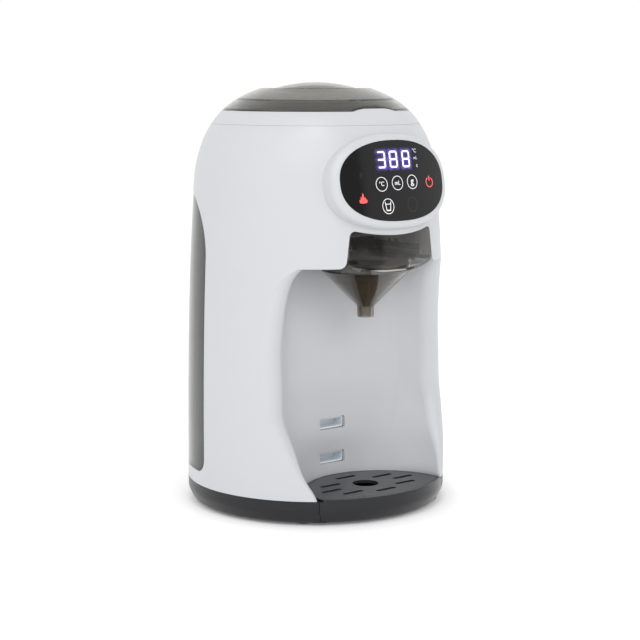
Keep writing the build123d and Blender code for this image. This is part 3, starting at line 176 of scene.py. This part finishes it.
# ---- nodes -----------------------------------------------------------------------------
class Bench:
    """Short names for making and joining the nodes of one tree."""

    def __init__(self, tree):
        self.tree = tree

    def node(self, kind, **values):
        node = self.tree.nodes.new(kind)
        for key, value in values.items():
            if hasattr(node, key):
                setattr(node, key, value)
            else:
                node.inputs[key].default_value = value
        return node

    def link(self, source, target):
        self.tree.links.new(source, target)

    def maths(self, operation, *terms):
        """Result of one operation on sockets and plain numbers."""
        node = self.node("ShaderNodeMath", operation=operation)
        for place, term in zip(node.inputs, terms):
            if isinstance(term, (int, float)):
                place.default_value = term
            else:
                self.link(term, place)
        return node.outputs[0]

    def parts(self, vector):
        """X, Y and Z of a vector socket."""
        split = self.node("ShaderNodeSeparateXYZ")
        self.link(vector, split.inputs["Vector"])
        return split.outputs

    def vector(self, **terms):
        """Vector from sockets and plain numbers."""
        joined = self.node("ShaderNodeCombineXYZ")
        for axis, term in terms.items():
            if isinstance(term, (int, float)):
                joined.inputs[axis].default_value = term
            else:
                self.link(term, joined.inputs[axis])
        return joined.outputs["Vector"]

    def share(self, value, low, high):
        """How far a value is from low to high, as 0 to 1."""
        scale = self.node("ShaderNodeMapRange")
        scale.inputs["From Min"].default_value = low
        scale.inputs["From Max"].default_value = high
        self.link(value, scale.inputs["Value"])
        return scale.outputs["Result"]


# ---- camera, light and floor -----------------------------------------------------------
def put_in_scene(name, data):
    thing = bpy.data.objects.new(name, data)
    bpy.context.scene.collection.objects.link(thing)
    return thing


def add_camera():
    data = bpy.data.cameras.new("camera")
    data.lens = camera_lens
    data.sensor_width = camera_sensor
    data.clip_start = 0.05
    data.clip_end = 50.0
    camera = put_in_scene("camera", data)
    camera.location = camera_place
    camera.rotation_euler = (math.radians(90) - camera_dip, 0.0, -camera_turn)
    bpy.context.scene.camera = camera


def add_light(name, place, target, size, power):
    data = bpy.data.lights.new(name, "AREA")
    data.shape = "RECTANGLE"
    data.size, data.size_y = size
    data.energy = power
    light = put_in_scene(name, data)
    light.location = place
    light.rotation_mode = "QUATERNION"
    light.rotation_quaternion = (Vector(target) - Vector(place)).to_track_quat("-Z", "Y")


def add_world():
    """White studio with one darker strip ahead of the machine and a softer side."""
    world = bpy.data.worlds.new("studio")
    world.use_nodes = True
    bench = Bench(world.node_tree)
    place = bench.node("ShaderNodeTexCoord")
    split = bench.parts(place.outputs["Generated"])
    ahead = bench.maths("MULTIPLY", split["Y"], -1.0)
    side = bench.maths("ARCTAN2", split["X"], ahead)
    ramp = bench.node("ShaderNodeValToRGB")
    ends = ramp.color_ramp.elements
    for stop, (position, value) in zip(ends, (sky_stops[0], sky_stops[-1])):
        stop.position = position
        stop.color = (value, value, value, 1.0)
    for position, value in sky_stops[1:-1]:
        ends.new(position).color = (value, value, value, 1.0)
    bench.link(bench.share(side, -math.pi, math.pi), ramp.inputs["Fac"])
    background = world.node_tree.nodes["Background"]
    bench.link(ramp.outputs["Color"], background.inputs["Color"])
    bpy.context.scene.world = world


def add_floor():
    half = floor_half
    corners = [(-half, -half, 0), (half, -half, 0), (half, half, 0), (-half, half, 0)]
    mesh = bpy.data.meshes.new("floor")
    mesh.from_pydata(corners, [], [(0, 1, 2, 3)])
    floor = put_in_scene("floor", mesh)
    pale = Recipe("floor")
    pale.set(Base_Color=(1, 1, 1, 1), Roughness=0.8)
    pale.set(Emission_Color=(1, 1, 1, 1), Emission_Strength=floor_glow)
    mesh.materials.append(pale.material)


# ---- materials -------------------------------------------------------------------------
class Recipe(Bench):
    """A material being put together."""

    def __init__(self, name):
        self.material = bpy.data.materials.new(name)
        self.material.use_nodes = True
        super().__init__(self.material.node_tree)
        self.shader = self.tree.nodes["Principled BSDF"]

    def set(self, **values):
        for key, value in values.items():
            self.shader.inputs[key.replace("_", " ")].default_value = value

    def noise(self, scale, detail):
        place = self.node("ShaderNodeTexCoord")
        noise = self.node("ShaderNodeTexNoise", Scale=scale, Detail=detail)
        self.link(place.outputs["Object"], noise.inputs["Vector"])
        return noise

    def vary_colour(self, colour, other, scale):
        """Slight change of colour over the surface."""
        noise = self.noise(scale, detail=3.0)
        mix = self.node("ShaderNodeMix", data_type="RGBA")
        mix.inputs["A"].default_value = (*colour, 1)
        mix.inputs["B"].default_value = (*other, 1)
        self.link(noise.outputs["Fac"], mix.inputs["Factor"])
        self.link(mix.outputs["Result"], self.shader.inputs["Base Color"])

    def vary_roughness(self, low, high, scale):
        """Slight change of gloss over the surface, as handling leaves it."""
        noise = self.noise(scale, detail=2.0)
        ramp = self.node("ShaderNodeMapRange")
        ramp.inputs["To Min"].default_value = low
        ramp.inputs["To Max"].default_value = high
        self.link(noise.outputs["Fac"], ramp.inputs["Value"])
        self.link(ramp.outputs["Result"], self.shader.inputs["Roughness"])

    def bump(self, scale, strength, distance):
        """Fine moulded grain."""
        noise = self.noise(scale, detail=2.0)
        bump = self.node("ShaderNodeBump", Strength=strength, Distance=distance)
        self.link(noise.outputs["Fac"], bump.inputs["Height"])
        self.link(bump.outputs["Normal"], self.shader.inputs["Normal"])


def shade(colour, times):
    return tuple(min(1.0, part * times) for part in colour)


def white_plastic(name="white_shell"):
    """Satin white moulded plastic."""
    recipe = Recipe(name)
    recipe.vary_colour((0.535, 0.547, 0.566), (0.555, 0.567, 0.586), scale=6.0)
    recipe.vary_roughness(0.30, 0.38, scale=30.0)
    recipe.bump(scale=900.0, strength=0.03, distance=0.0002)
    return recipe


def white_plastic_with_painted_shade():
    """White plastic of the outer shell, with near-black painted shade inside the head's recess."""
    recipe = white_plastic("shell_lined")
    colour = recipe.shader.inputs["Base Color"]
    white = colour.links[0].from_socket
    painted_shade_mix = recipe.node("ShaderNodeMix", data_type="RGBA")
    # Painted shade: near-black colour laid on the white walls inside the recess
    painted_shade_mix.inputs["B"].default_value = (0.018, 0.017, 0.016, 1)
    recipe.link(white, painted_shade_mix.inputs["A"])
    recipe.link(painted_shade_mask(recipe), painted_shade_mix.inputs["Factor"])
    recipe.link(painted_shade_mix.outputs["Result"], colour)
    return recipe


def painted_shade_mask(recipe):
    """1 where painted shade darkens the shell's wall in the recess, 0 elsewhere."""
    place = recipe.node("ShaderNodeTexCoord")
    split = recipe.parts(place.outputs["Object"])
    sides = [("X", -dark_half_w, dark_half_w), ("Y", dark_front_y, dark_rear_y),
             ("Z", dark_low_z, dark_high_z)]
    mask = 1.0
    for axis, low, high in sides:
        middle = (low + high) / 2 * MM
        reach = (high - low) / 2 * MM
        mask = recipe.maths("MULTIPLY", mask, recipe.maths("COMPARE", split[axis], middle, reach))
    return mask


def black_base():
    """Black moulded plastic with a fine grain."""
    recipe = Recipe("black_base")
    recipe.set(Specular_IOR_Level=0.38)
    recipe.vary_colour((0.007, 0.007, 0.0085), (0.011, 0.011, 0.013), scale=20.0)
    recipe.vary_roughness(0.26, 0.36, scale=60.0)
    recipe.bump(scale=1500.0, strength=0.08, distance=0.0002)
    return recipe


def gloss_black(name, colour, rough, gloss=0.5):
    """Smooth black plastic or glass."""
    recipe = Recipe(name)
    recipe.set(Specular_IOR_Level=gloss)
    recipe.vary_colour(colour, shade(colour, 1.3), scale=15.0)
    recipe.vary_roughness(rough, rough + 0.04, scale=25.0)
    return recipe


def smoked(name, colour, gloss=0.5):
    """Clear plastic with a grey tint; each wall lets through about its colour."""
    recipe = Recipe(name)
    recipe.vary_colour(colour, shade(colour, 1.12), scale=12.0)
    recipe.vary_roughness(0.03, 0.07, scale=40.0)
    recipe.set(IOR=1.49, Transmission_Weight=1.0, Specular_IOR_Level=gloss)
    return recipe


def plain(name, colour, rough, metallic=0.0):
    """Plastic or metal of one colour, a little uneven."""
    recipe = Recipe(name)
    recipe.vary_colour(colour, shade(colour, 1.12), scale=25.0)
    recipe.vary_roughness(rough, rough + 0.1, scale=50.0)
    recipe.set(Metallic=metallic)
    return recipe


def lit(name, colour, strength):
    """Symbol with light behind it, a little uneven as a lit symbol is."""
    recipe = Recipe(name)
    recipe.vary_colour(shade(colour, 0.5), colour, scale=400.0)
    recipe.vary_roughness(0.2, 0.3, scale=200.0)
    recipe.set(Emission_Color=(*colour, 1.0), Emission_Strength=strength)
    return recipe


def spilled_violet():
    """Light that spills from the digits into the panel around them."""
    recipe = Recipe("digit_glow")
    recipe.vary_colour((0.02, 0.015, 0.06), (0.03, 0.02, 0.08), scale=300.0)
    recipe.vary_roughness(0.05, 0.08, scale=100.0)
    recipe.set(Emission_Color=(0.24, 0.18, 0.80, 1.0), Emission_Strength=0.9)
    spill = recipe.node("ShaderNodeAttribute", attribute_name="glow")
    recipe.link(spill.outputs["Fac"], recipe.shader.inputs["Alpha"])
    return recipe


def dress(recipe, *names):
    """Give these CAD nodes one finish."""
    for name in names:
        slots = nodes[name].data.materials
        slots.clear()
        slots.append(recipe.material)


# ---- pieces ----------------------------------------------------------------------------
def add_piece(name, mesh, recipe, body):
    """Piece from a mesh that already has its place, riding on a body."""
    mesh.materials.clear()
    mesh.materials.append(recipe.material)
    piece = put_in_scene(name, mesh)
    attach(piece, body)
    return piece


def mesh_from(name, shape):
    mesh = bpy.data.meshes.new(name)
    shape.to_mesh(mesh)
    shape.free()
    return mesh


def drawn_mesh(name, data, prepare=None):
    """Plain mesh of what a curve or a modifier draws."""
    maker = put_in_scene(name + "_maker", data)
    if prepare:
        prepare(maker)
    bpy.context.view_layer.update()
    drawn = maker.evaluated_get(bpy.context.evaluated_depsgraph_get())
    mesh = bpy.data.meshes.new_from_object(drawn)
    bpy.data.objects.remove(maker)
    mesh.name = name
    return mesh


# ---- what the panel shows --------------------------------------------------------------
def on_panel(x, y, lift):
    """Place on the panel's curved face, from its middle. All in mm."""
    sink = panel_bend - math.sqrt(panel_bend ** 2 - (x * MM) ** 2)
    flat = panel_middle + panel_across * (x * MM) + panel_up * (y * MM)
    return flat + panel_out * (lift * MM - sink)


def add_print(name, mesh, recipe):
    """Thin closed print on the panel, from its outer face."""
    piece = add_piece(name, mesh, recipe, "root")
    wall = piece.modifiers.new("thickness", "SOLIDIFY")
    wall.thickness = print_t * print_share * MM
    wall.offset = -1.0


def add_outlines(name, outlines, recipe):
    """One piece printed on the panel, from closed outlines."""
    shape = bmesh.new()
    for outline in outlines:
        shape.faces.new([shape.verts.new(on_panel(x, y, print_t)) for x, y in outline])
    bmesh.ops.remove_doubles(shape, verts=shape.verts, dist=weld * MM)
    bmesh.ops.recalc_face_normals(shape, faces=shape.faces)
    for face in shape.faces:
        if face.normal.dot(panel_out) < 0:
            face.normal_flip()
    add_print(name, mesh_from(name, shape), recipe)


def add_letters(recipe, letters):
    """Letters on the panel, each centred on its place."""
    for name, words, x, y, height, stretch, bold in letters:
        curve = bpy.data.curves.new(name, "FONT")
        curve.body = words
        curve.size = height * letter_size * MM
        curve.align_x = "CENTER"
        curve.align_y = "CENTER"
        curve.offset = bold * MM
        mesh = drawn_mesh(name, curve)
        for vertex in mesh.vertices:
            place = vertex.co
            vertex.co = on_panel(x + place.x * stretch / MM, y + place.y / MM, print_t)
        add_print(name, mesh, recipe)


def segment(x, y, length, upright):
    """Six-cornered bar of a digit."""
    half = length / 2
    w = digit_stroke / 2
    corners = [(-half, 0), (-half + w, w), (half - w, w),
               (half, 0), (half - w, -w), (-half + w, -w)]
    if upright:
        corners = [(-b, a) for a, b in corners]
    return [(x + a, y + b) for a, b in corners]


def digit(x, y, lit_segments):
    """Middle, length and direction of each lit bar of a seven-segment digit."""
    half_w = (digit_w - digit_stroke) / 2
    half_h = (digit_h - digit_stroke) / 2
    across = digit_w - digit_stroke - digit_gap
    up = half_h - digit_gap
    high, low = y + half_h / 2, y - half_h / 2
    places = {
        "a": (x, y + half_h, across, False), "g": (x, y, across, False),
        "d": (x, y - half_h, across, False),
        "b": (x + half_w, high, up, True), "c": (x + half_w, low, up, True),
        "f": (x - half_w, high, up, True), "e": (x - half_w, low, up, True),
    }
    return [places[key] for key in lit_segments]


def ring(x, y, half_w, half_h, stroke, first=0.0, last=360.0, steps=48):
    """Ring or part of one, as four-cornered outlines."""
    inner_w, inner_h = half_w - stroke, half_h - stroke
    outlines = []
    for i in range(steps):
        a = math.radians(first + (last - first) * i / steps)
        b = math.radians(first + (last - first) * (i + 1) / steps)
        corners = [(a, half_w, half_h), (b, half_w, half_h),
                   (b, inner_w, inner_h), (a, inner_w, inner_h)]
        outlines.append(
            [(x + w * math.cos(turn), y + h * math.sin(turn)) for turn, w, h in corners])
    return outlines


def bar(x0, y0, x1, y1, width):
    """Straight stroke between two places."""
    along = Vector((x1 - x0, y1 - y0)).normalized()
    side = Vector((-along.y, along.x)) * width / 2
    return [(x0 + side.x, y0 + side.y), (x0 - side.x, y0 - side.y),
            (x1 - side.x, y1 - side.y), (x1 + side.x, y1 + side.y)]


def add_digits():
    bars = [d for (x, y), keys in zip(digit_middles, digit_lit) for d in digit(x, y, keys)]
    violet_white = lit("lit_digits", (0.86, 0.84, 1.0), 0.95)
    add_outlines("display_digits", [segment(*b) for b in bars], violet_white)
    add_glow(bars)


def add_glow(bars):
    """Sheet over the digits that holds how much light spills at each place."""
    (x0, x1), (y0, y1), (across, up) = glow_x, glow_y, glow_cells
    shape = bmesh.new()
    layer = shape.verts.layers.float.new("glow")
    grid = []
    for j in range(up + 1):
        row = []
        for i in range(across + 1):
            x = x0 + (x1 - x0) * i / across
            y = y0 + (y1 - y0) * j / up
            vertex = shape.verts.new(on_panel(x, y, glow_lift))
            edge = min(x - x0, x1 - x, y - y0, y1 - y)
            vertex[layer] = spilled_light(x, y, bars) * min(1.0, max(0.0, edge / glow_edge))
            row.append(vertex)
        grid.append(row)
    for j in range(up):
        for i in range(across):
            shape.faces.new((grid[j][i], grid[j][i + 1], grid[j + 1][i + 1], grid[j + 1][i]))
    add_piece("digit_glow", mesh_from("digit_glow", shape), spilled_violet(), "root")


def spilled_light(x, y, bars):
    """Light from all lit bars at one place, up to a limit."""
    total = 0.0
    for bar_x, bar_y, length, upright in bars:
        along = abs(y - bar_y) if upright else abs(x - bar_x)
        away = abs(x - bar_x) if upright else abs(y - bar_y)
        past = max(0.0, along - length / 2)
        total += glow_share * math.exp(-((math.hypot(past, away) / glow_reach) ** 2))
    return min(glow_most, total)


def add_symbols():
    white = lit("lit_symbols", (0.80, 0.79, 0.82), 0.75)
    violet = lit("lit_units", (0.62, 0.60, 0.95), 0.7)
    red = lit("lit_red", (1.0, 0.10, 0.09), 0.85)
    faint = plain("unlit_symbols", (0.022, 0.022, 0.022), 0.2)
    rings = []
    for x in touch_xs:
        rings += ring(x, touch_y + x * touch_climb, *touch_size, ring_stroke)
    rings += ring(*bottle_middle, *bottle_size, ring_stroke)
    add_outlines("touch_rings", rings, white)
    add_outlines("bottle_symbol", [bar(*b) for b in bottle_bars], white)
    add_letters(white, touch_letters)
    add_letters(violet, unit_letters)
    power = ring(*power_middle, *power_size, power_stroke, *power_open) + [bar(*power_bar)]
    add_outlines("power_symbol", power, red)
    add_outlines("heat_symbol", flame, red)
    unlit = ring(*unlit_oval, unlit_stroke) + ring(*unlit_drop, unlit_stroke, steps=24)
    add_outlines("unlit_symbols", unlit, faint)


# ---- funnel ----------------------------------------------------------------------------
def lathe(name, profile, recipe, body, centre, steps=96):
    """Closed ring turned about an upright axis, from (radius, height) corners."""
    shape = bmesh.new()
    loops = []
    for i in range(steps):
        turn = 2 * math.pi * i / steps
        loop = []
        for r, z in profile:
            x = centre[0] + r * math.cos(turn)
            y = centre[1] + r * math.sin(turn)
            loop.append(shape.verts.new((x * MM, y * MM, z * MM)))
        loops.append(loop)
    count = len(profile)
    for i in range(steps):
        one = loops[i]
        two = loops[(i + 1) % steps]
        for k in range(count):
            after = (k + 1) % count
            shape.faces.new((one[k], two[k], two[after], one[after]))
    bmesh.ops.recalc_face_normals(shape, faces=shape.faces)
    mesh = mesh_from(name, shape)
    for polygon in mesh.polygons:
        polygon.use_smooth = True
    piece = add_piece(name, mesh, recipe, body)
    edge = piece.modifiers.new("edges", "EDGE_SPLIT")
    edge.split_angle = math.radians(30)


def add_funnel_details():
    """Drop tube inside the cone and the rib around the cone's inside."""
    amber = smoked("smoked_dark", (0.78, 0.70, 0.61))
    for name, profile in (("funnel_drop_tube", drop_tube), ("funnel_rib", cone_rib)):
        lathe(name, profile, amber, "funnel_unit", (0.0, funnel_y))


# ---- what repeats, made by Geometry Nodes ----------------------------------------------
class Growth(Bench):
    """A Geometry Nodes tree being put together, with named inputs for its sizes."""

    def __init__(self, name, **inputs):
        tree = bpy.data.node_groups.new(name, "GeometryNodeTree")
        tree.is_modifier = True
        super().__init__(tree)
        for label, kind in inputs.items():
            tree.interface.new_socket(
                label.replace("_", " "), in_out="INPUT", socket_type="NodeSocket" + kind)
        tree.interface.new_socket("Geometry", in_out="OUTPUT", socket_type="NodeSocketGeometry")
        self.sizes = self.node("NodeGroupInput").outputs
        self.result = self.node("NodeGroupOutput").inputs["Geometry"]

    def finish(self, instances, recipe):
        """End of the tree: real geometry with its finish."""
        real = self.node("GeometryNodeRealizeInstances")
        dressed = self.node("GeometryNodeSetMaterial", Material=recipe.material)
        self.link(instances, real.inputs["Geometry"])
        self.link(real.outputs["Geometry"], dressed.inputs["Geometry"])
        self.link(dressed.outputs["Geometry"], self.result)

    def copies(self, points, shape, scale):
        """One copy of a shape on each point."""
        copies = self.node("GeometryNodeInstanceOnPoints")
        self.link(points, copies.inputs["Points"])
        self.link(shape, copies.inputs["Instance"])
        self.link(scale, copies.inputs["Scale"])
        return copies


def ring_of_ribs(recipe):
    """Upright ribs set side by side round a cap's edge."""
    growth = Growth("ring_of_ribs", Radius="Float", Count="Int", Rib_width="Float",
                    Rib_depth="Float", Rib_height="Float")
    sizes = growth.sizes
    circle = growth.node("GeometryNodeMeshCircle")
    growth.link(sizes["Radius"], circle.inputs["Radius"])
    growth.link(sizes["Count"], circle.inputs["Vertices"])
    rib = growth.node("GeometryNodeMeshCylinder", Vertices=10, Radius=1.0, Depth=1.0)
    scale = growth.vector(X=sizes["Rib depth"], Y=sizes["Rib width"], Z=sizes["Rib height"])
    copies = growth.copies(circle.outputs["Mesh"], rib.outputs["Mesh"], scale)
    place = growth.node("GeometryNodeInputPosition")
    outwards = growth.node("FunctionNodeAlignEulerToVector", axis="X", pivot_axis="Z")
    growth.link(place.outputs["Position"], outwards.inputs["Vector"])
    growth.link(outwards.outputs["Rotation"], copies.inputs["Rotation"])
    growth.finish(copies.outputs["Instances"], recipe)
    return growth


def column_of_marks(recipe):
    """Short curved strokes set one above the other on a round wall."""
    growth = Growth("column_of_marks", Wall_radius="Float", Sweep="Float", Count="Int",
                    Step="Float", Stroke="Float", Lowest_mark="Float")
    sizes = growth.sizes
    arc = growth.node("GeometryNodeCurveArc", Resolution=12)
    growth.link(sizes["Wall radius"], arc.inputs["Radius"])
    growth.link(sizes["Sweep"], arc.inputs["Sweep Angle"])
    first = growth.maths("MULTIPLY_ADD", sizes["Sweep"], -0.5, math.pi / 2)
    growth.link(first, arc.inputs["Start Angle"])
    profile = growth.node("GeometryNodeCurvePrimitiveQuadrilateral")
    growth.link(sizes["Stroke"], profile.inputs["Width"])
    growth.link(sizes["Stroke"], profile.inputs["Height"])
    stroke = growth.node("GeometryNodeCurveToMesh")
    stroke.inputs["Fill Caps"].default_value = True
    growth.link(arc.outputs["Curve"], stroke.inputs["Curve"])
    growth.link(profile.outputs["Curve"], stroke.inputs["Profile Curve"])
    line = growth.node("GeometryNodeMeshLine")
    growth.link(sizes["Count"], line.inputs["Count"])
    growth.link(growth.vector(Z=sizes["Step"]), line.inputs["Offset"])
    growth.link(growth.vector(Z=sizes["Lowest mark"]), line.inputs["Start Location"])
    copies = growth.copies(line.outputs["Mesh"], stroke.outputs["Mesh"], narrowing(growth))
    growth.finish(copies.outputs["Instances"], recipe)
    return growth


def narrowing(growth):
    """Scale that draws each mark in to the wall, which narrows towards the shoulder."""
    place = growth.node("GeometryNodeInputPosition")
    split = growth.parts(place.outputs["Position"])
    way_up = growth.share(split["Z"], base_top_z * MM, shoulder_z * MM)
    bend = growth.maths("POWER", way_up, body_bend)
    shrink = growth.maths("MULTIPLY_ADD", bend, -body_taper / body_r, 1.0)
    return growth.vector(X=shrink, Y=shrink, Z=1.0)


def grow(name, growth, sizes, recipe, body, lift=(0, 0, 0)):
    """Piece from a tree with these sizes, moved to its place."""
    def prepare(maker):
        modifier = maker.modifiers.new("tree", "NODES")
        modifier.node_group = growth.tree
        for socket in growth.tree.interface.items_tree:
            if socket.item_type == "SOCKET" and socket.in_out == "INPUT":
                modifier[socket.identifier] = sizes[socket.name]

    mesh = drawn_mesh(name, bpy.data.meshes.new(name + "_maker"), prepare)
    shape = bmesh.new()
    shape.from_mesh(mesh)
    bmesh.ops.translate(shape, verts=shape.verts, vec=Vector(lift) * MM)
    bmesh.ops.recalc_face_normals(shape, faces=shape.faces)
    shape.to_mesh(mesh)
    shape.free()
    add_piece(name, mesh, recipe, body)


def add_cap_ribs():
    """Grip ribs round the tank cap's edge."""
    black = black_base()
    sizes = {"Radius": (cap_r - rib_depth) * MM, "Count": rib_count,
             "Rib width": rib_half_w * MM, "Rib depth": rib_depth * MM * 0.9,
             "Rib height": (cap_top_z - cap_low_z - rib_short) * MM}
    lift = (0, cap_y, (cap_low_z + cap_top_z) / 2)
    grow("cap_ribs", ring_of_ribs(black), sizes, black, "cap", lift)


def add_tank_marks():
    """Level marks up the tank's back, long ones between short ones."""
    pale = plain("mark_white", (0.62, 0.63, 0.64), 0.4)
    growth = column_of_marks(pale)
    for name, sweep, count, lowest in mark_columns:
        sizes = {"Wall radius": (body_r - mark_inset) * MM, "Sweep": sweep, "Count": count,
                 "Step": mark_step * MM, "Stroke": mark_stroke * MM, "Lowest mark": lowest * MM}
        grow(name, growth, sizes, pale, "tank")


# ---- the scene -------------------------------------------------------------------------
bpy.context.scene.view_settings.view_transform = "Standard"
add_camera()
add_world()
add_floor()
for light in lights:
    add_light(*light)

# Housing, lid, funnel, tank and tray
# The outer shell carries painted shade on its walls inside the head's recess
dress(white_plastic_with_painted_shade(), "outer_shell")
dress(white_plastic(), "top_collar", "tank_float")
dress(black_base(), "base_pan", "power_inlet", "rubber_feet", "tank_cap", "level_sensor",
      "display_frame", "thermostat", "tank_valve", "water_nozzle", "pump_feet", "lid_seal")
dress(gloss_black("tray_gloss", (0.008, 0.008, 0.010), 0.14, gloss=0.4), "drip_tray")
dress(gloss_black("grate_gloss", (0.022, 0.023, 0.024), 0.26), "drip_grate")
dress(gloss_black("gloss_panel", (0.007, 0.007, 0.0075), 0.04, gloss=0.38), "display_panel")
dress(plain("pocket_plastic", (0.72, 0.76, 0.80), 0.4), "pocket_liner")
dress(smoked("smoked_clear", (0.36, 0.345, 0.32), gloss=0.32),
      "funnel", "funnel_cover", "powder_chute")
dress(smoked("smoked_lid", (0.42, 0.415, 0.385)), "powder_lid")
dress(smoked("smoked_tank", (0.16, 0.163, 0.153)), "water_tank")
dress(smoked("clear_container", (0.75, 0.75, 0.74)), "powder_container")

# Works inside
dress(plain("grey_inner", (0.5, 0.5, 0.52), 0.4),
      "tank_bay", "tank_port", "powder_deck", "drive_bracket", "pump_housing", "board_posts")
dress(plain("gear_plastic", (0.8, 0.8, 0.77), 0.35), "drive_gear", "motor_pinion", "pump_rotor",
      "outlet_scraper", "dosing_disc", "stirring_paddle", "led_digits")
dress(plain("steel", (0.6, 0.6, 0.62), 0.3, metallic=1.0), "base_screws", "deck_screws",
      "boiler_clamps", "temp_sensor", "stir_motor", "pump_motor", "boiler", "touch_springs")
dress(plain("bronze", (0.6, 0.42, 0.2), 0.35, metallic=1.0), "shaft_bushes")
dress(plain("circuit_board", (0.02, 0.14, 0.06), 0.4), "power_board", "main_board", "display_board")
dress(plain("silicone_hose", (0.8, 0.8, 0.76), 0.3), "feed_hose", "boiler_hose", "nozzle_hose")

add_digits()
add_symbols()
add_funnel_details()
add_cap_ribs()
add_tank_marks()
